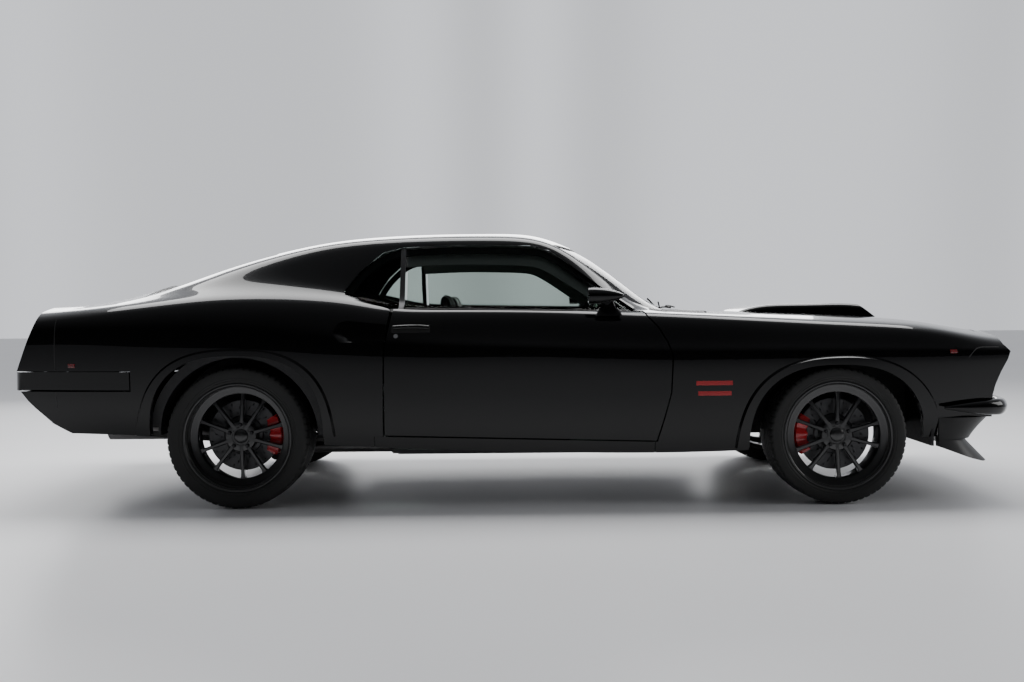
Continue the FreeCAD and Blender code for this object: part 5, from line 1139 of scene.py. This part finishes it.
# Door fittings: the padded armrest inside, the painted handle with its lock, and the bullet mirror.
# Each is fixed to its door and swings with it.

ARMREST = [(0.36, 0.600), (0.36, 0.560), (-0.36, 0.590), (-0.36, 0.640)]
ARMREST_Y = 0.722
HANDLE_LINE = [(-0.548, 0.8195), (-0.500, 0.8225), (-0.430, 0.8225), (-0.385, 0.8185)]
MIRROR_X = 0.345
MIRROR_Y = 0.842
MIRROR_Z = 0.960
MIRROR_PROFILE = [(0.003, 0.0005), (0.003, 0.031), (-0.001, 0.032), (-0.001, 0.0355), (0.004, 0.0375),
                  (0.030, 0.0372), (0.060, 0.0350), (0.090, 0.0305), (0.120, 0.0235), (0.145, 0.0150),
                  (0.160, 0.0075), (0.166, 0.0005)]
FOOT_LEVELS = [(0.376, 0.500, 0.014, 0.868, 0.842), (0.384, 0.492, 0.013, 0.885, 0.838),
               (0.400, 0.470, 0.011, 0.905, 0.838), (0.405, 0.460, 0.010, 0.935, 0.841)]
FOOT_SIDES = 16


def rod_along(path, radius, sides=12):
    """A round bar along points, closed at its ends."""
    points = []
    for k, place in enumerate(path):
        along = (path[min(k + 1, len(path) - 1)] - path[max(k - 1, 0)]).normalized()
        one = along.orthogonal().normalized()
        two = along.cross(one)
        for i in range(sides):
            a = 2 * math.pi * i / sides
            points.append(place + one * (radius * math.cos(a)) + two * (radius * math.sin(a)))
    return points, loft(len(path), sides)


def mirror_foot(sign):
    """A low wedge from the door's shoulder up to the mirror's shell."""
    points = []
    for x0, x1, half, z, y in FOOT_LEVELS:
        for k in range(FOOT_SIDES):
            a = 2 * math.pi * k / FOOT_SIDES
            points.append(((x0 + x1) / 2 + (x1 - x0) / 2 * math.cos(a), sign * (y + half * math.sin(a)), z))
    return points, loft(len(FOOT_LEVELS), FOOT_SIDES)


handle_path = side_path(HANDLE_LINE, 0.006, 0.010)
cup_path = side_path([(-0.556, 0.812), (-0.380, 0.812)], 0.006, 0.0006)
lock_place, lock_way = on_side(-0.535, 0.783, 0.0)
for side_name, sign in SIDES:
    door = "door_" + side_name
    points, faces = ridge(on_this_side(handle_path, sign), 0.017, 0.007, 0.004)
    join_piece("door_handle_" + side_name, points, faces, paint, door, 40.0)
    ends = [on_this_side(handle_path, sign)[k] for k in (3, -4)]
    points, faces = add_up(*[rod_along([p - n * 0.014, p + n * 0.002], 0.008) for p, n in ends])
    join_piece("door_handle_posts_" + side_name, points, faces, paint, door)
    points, faces = ridge(on_this_side(cup_path, sign), 0.030, 0.0008, 0.001)
    join_piece("door_handle_cup_" + side_name, points, faces, trim_black, door)
    flip = Vector((1.0, sign, 1.0))
    lock_ends = [(lock_place - lock_way * 0.003) * flip, (lock_place + lock_way * 0.003) * flip]
    points, faces = rod_along(lock_ends, 0.010, 24)
    join_piece("door_lock_" + side_name, points, faces, bright, door)
    shell = round_x(MIRROR_PROFILE, (MIRROR_X, sign * MIRROR_Y, MIRROR_Z))
    points, faces = add_up(shell, mirror_foot(sign))
    join_piece("door_mirror_" + side_name, points, faces, paint, door, 50.0)
    points, faces = cushion(ARMREST, sign * ARMREST_Y, 0.020, 0.012, [0.0], (0.0, 1.0))
    piece = join_piece("door_armrest_" + side_name, points, faces, leather, door, 45.0)


# Lamps: four round headlamps with bright bowls and domed glass, and ribbed red lamps in the tail.
# Small red side lamps sit near the ends of the fenders and quarters.

LAMP_RADIUS = 0.073
LAMP_RIM = 0.082
LENS_RADIUS = 0.072
DOME_RADIUS = 0.190
LAMP_Z = 0.600
LAMPS = ((0.676, 2.222), (0.480, 2.262))
SIDE_LAMPS = ((2.015, 0.692), (-2.02, 0.66))
BOWL_PROFILE = [(-0.0695, 0.001), (-0.066, 0.020), (-0.058, 0.040), (-0.044, 0.058), (-0.026, 0.070),
                (-0.0245, 0.0725), (-0.024, LAMP_RIM), (-0.049, LAMP_RIM), (-0.049, LAMP_RADIUS),
                (-0.0695, 0.060), (-0.0698, 0.001)]
bowl_finish = Finish("lamp_bowl", Base_Color=(0.75, 0.75, 0.76, 1), Metallic=1.0, Roughness=0.08)
bowl_finish.feed(Roughness=0.05 + bowl_finish.cloudy(30.0) * 0.08)
lens_finish = glass_finish("lamp_lens", (0.93, 0.94, 0.95, 1))
red_lens = Finish("lamp_red", Base_Color=(0.16, 0.002, 0.004, 1), Roughness=0.12, Coat_Weight=0.8,
                  Coat_Roughness=0.04)
lens_height = red_lens.node("SeparateXYZ", None, {0: red_lens.place()}, 2)
red_lens.feed(Roughness=0.10 + red_lens.cloudy(80.0) * 0.08)
red_lens.relief((lens_height * 520.0).wave(), 0.6, 0.002)
node_finish("tail_lamps", red_lens)
bowls = []
lenses = []
for y, face_x in LAMPS:
    for side_name, sign in SIDES:
        centre = (face_x, sign * y, LAMP_Z)
        bowls.append(round_x(BOWL_PROFILE, centre))
        dome = [(math.sqrt(DOME_RADIUS ** 2 - r ** 2) - DOME_RADIUS - 0.0005, r)
                for r in np.linspace(LENS_RADIUS, 0.0005, 10)]
        lenses.append(round_x([(-0.0245, LENS_RADIUS)] + dome, centre))
points, faces = add_up(*bowls)
join_piece("headlamp_bowls", points, faces, bowl_finish, "body", 40.0, ["headlamps"])
points, faces = add_up(*lenses)
join_piece("headlamp_lenses", points, faces, lens_finish, "body", 40.0)
side_lamps = [side_path([(x - 0.016, z), (x + 0.016, z)], 0.004, 0.0) for x, z in SIDE_LAMPS]
points, faces = add_up(*[both_ridges(path, 0.018, 0.003, 0.001) for path in side_lamps])
join_piece("side_lamps", points, faces, red_lens, "body")


# Grille and running gear: what is seen through the nose and under the body keeps its own shape.
# The grille is black plastic, the engine cast iron, and the exhaust rolled steel stained by heat.

pipe = Finish("exhaust_steel", Base_Color=(0.30, 0.29, 0.28, 1), Metallic=1.0, Roughness=0.4)
pipe_stain = pipe.cloudy(18.0, 4.0)
pipe.feed(Roughness=0.30 + pipe_stain * 0.3,
          Base_Color=pipe.between(pipe_stain, (0.20, 0.18, 0.17, 1), (0.40, 0.40, 0.41, 1)))
node_finish("grille", plastic)
node_finish("engine", cast)
node_finish("exhaust", pipe)


# Front bumper, seams and stripes: a slim rounded bar, the joints of the end caps, and two plain red bars.
# The bumper thins to a leaf where it wraps on to the fender, and the red bars are laid on the paint.

BUMPER_LINE = [(1.972, 0.842), (2.080, 0.836), (2.180, 0.822), (2.268, 0.788), (2.318, 0.706),
               (2.348, 0.480), (2.368, 0.240), (2.378, 0.0)]
BUMPER_Z = 0.4315
BUMPER_SIDES = 20
BUMPER_TAPER = 0.30
BUMPER_TALL = (0.006, 0.032)
BUMPER_DEEP = (0.006, 0.020)
SEAMS = ([(2.088, 0.664), (2.120, 0.700), (2.145, 0.710), (2.240, 0.709)], [(-2.101, 0.870), (-2.101, 0.640)],
         [(-2.101, 0.536), (-2.101, 0.465)])
RED_BARS = ([(0.829, 0.559), (0.995, 0.559)], [(0.838, 0.512), (0.990, 0.512)])

stripe = Finish("stripe_red", Base_Color=(0.42, 0.012, 0.016, 1), Roughness=0.35)
stripe.feed(Roughness=0.30 + stripe.cloudy(60.0) * 0.12)
half_line = resampled(BUMPER_LINE, 0.012)
full_line = np.concatenate([half_line, half_line[-2::-1] * np.array([1.0, -1.0])])
ahead = np.gradient(full_line, axis=0)
inward = np.stack([ahead[:, 1], -ahead[:, 0]], axis=1) / np.linalg.norm(ahead, axis=1)[:, None]
run = np.concatenate([[0.0], np.cumsum(np.linalg.norm(np.diff(full_line, axis=0), axis=1))])
from_tip = np.minimum(run, run[-1] - run)
points = []
for (x, y), (a, b), near in zip(full_line, inward, from_tip):
    grow = min(1.0, near / BUMPER_TAPER)
    tall, deep = [at_tip + more * math.sin(grow * math.pi / 2) for at_tip, more in (BUMPER_TALL, BUMPER_DEEP)]
    for k in range(BUMPER_SIDES):
        turn = 2 * math.pi * k / BUMPER_SIDES
        shift = deep * (1 - math.cos(turn))
        points.append((x + a * shift, y + b * shift, BUMPER_Z + 0.003 * (1 - grow) + tall * math.sin(turn)))
faces = loft(len(full_line), BUMPER_SIDES)
join_piece("front_bumper_bar", points, faces, paint, "body", 60.0, ["front_bumper"])

seam_paths = [side_path(line, 0.01, 0.0002) for line in SEAMS]
points, faces = add_up(*[both_ridges(path, 0.0045, 0.0003) for path in seam_paths])
join_piece("end_cap_seams", points, faces, trim_black, "body")
bar_paths = [side_path(line, 0.01, 0.0002) for line in RED_BARS]
points, faces = add_up(*[both_ridges(path, 0.020, 0.0004) for path in bar_paths])
join_piece("fender_bars", points, faces, stripe, "body")


# Wipers: two black arms with their blades, parked low along the foot of the windshield.
# Both are thin round bars that follow the glass.

WIPER_SWEEPS = ((0.42, -0.10), (-0.14, -0.58))

wiper_parts = []
for y_pivot, y_tip in WIPER_SWEEPS:
    sweep = y_tip - y_pivot
    arm = [on_top(0.835 - 0.08 * t - 0.05 * t * abs(y_tip), y_pivot + sweep * t, 0.012 + 0.006 * t)[0]
           for t in np.linspace(0.0, 0.9, 12)]
    blade = [on_top(0.80 - 0.10 * t, y_pivot + sweep * (0.25 + 0.75 * t), 0.006)[0]
             for t in np.linspace(0.0, 1.0, 16)]
    wiper_parts += [rod_along(arm, 0.004, 8), rod_along(blade, 0.0045, 8)]
points, faces = add_up(*wiper_parts)
join_piece("wipers", points, faces, trim_black, "body")
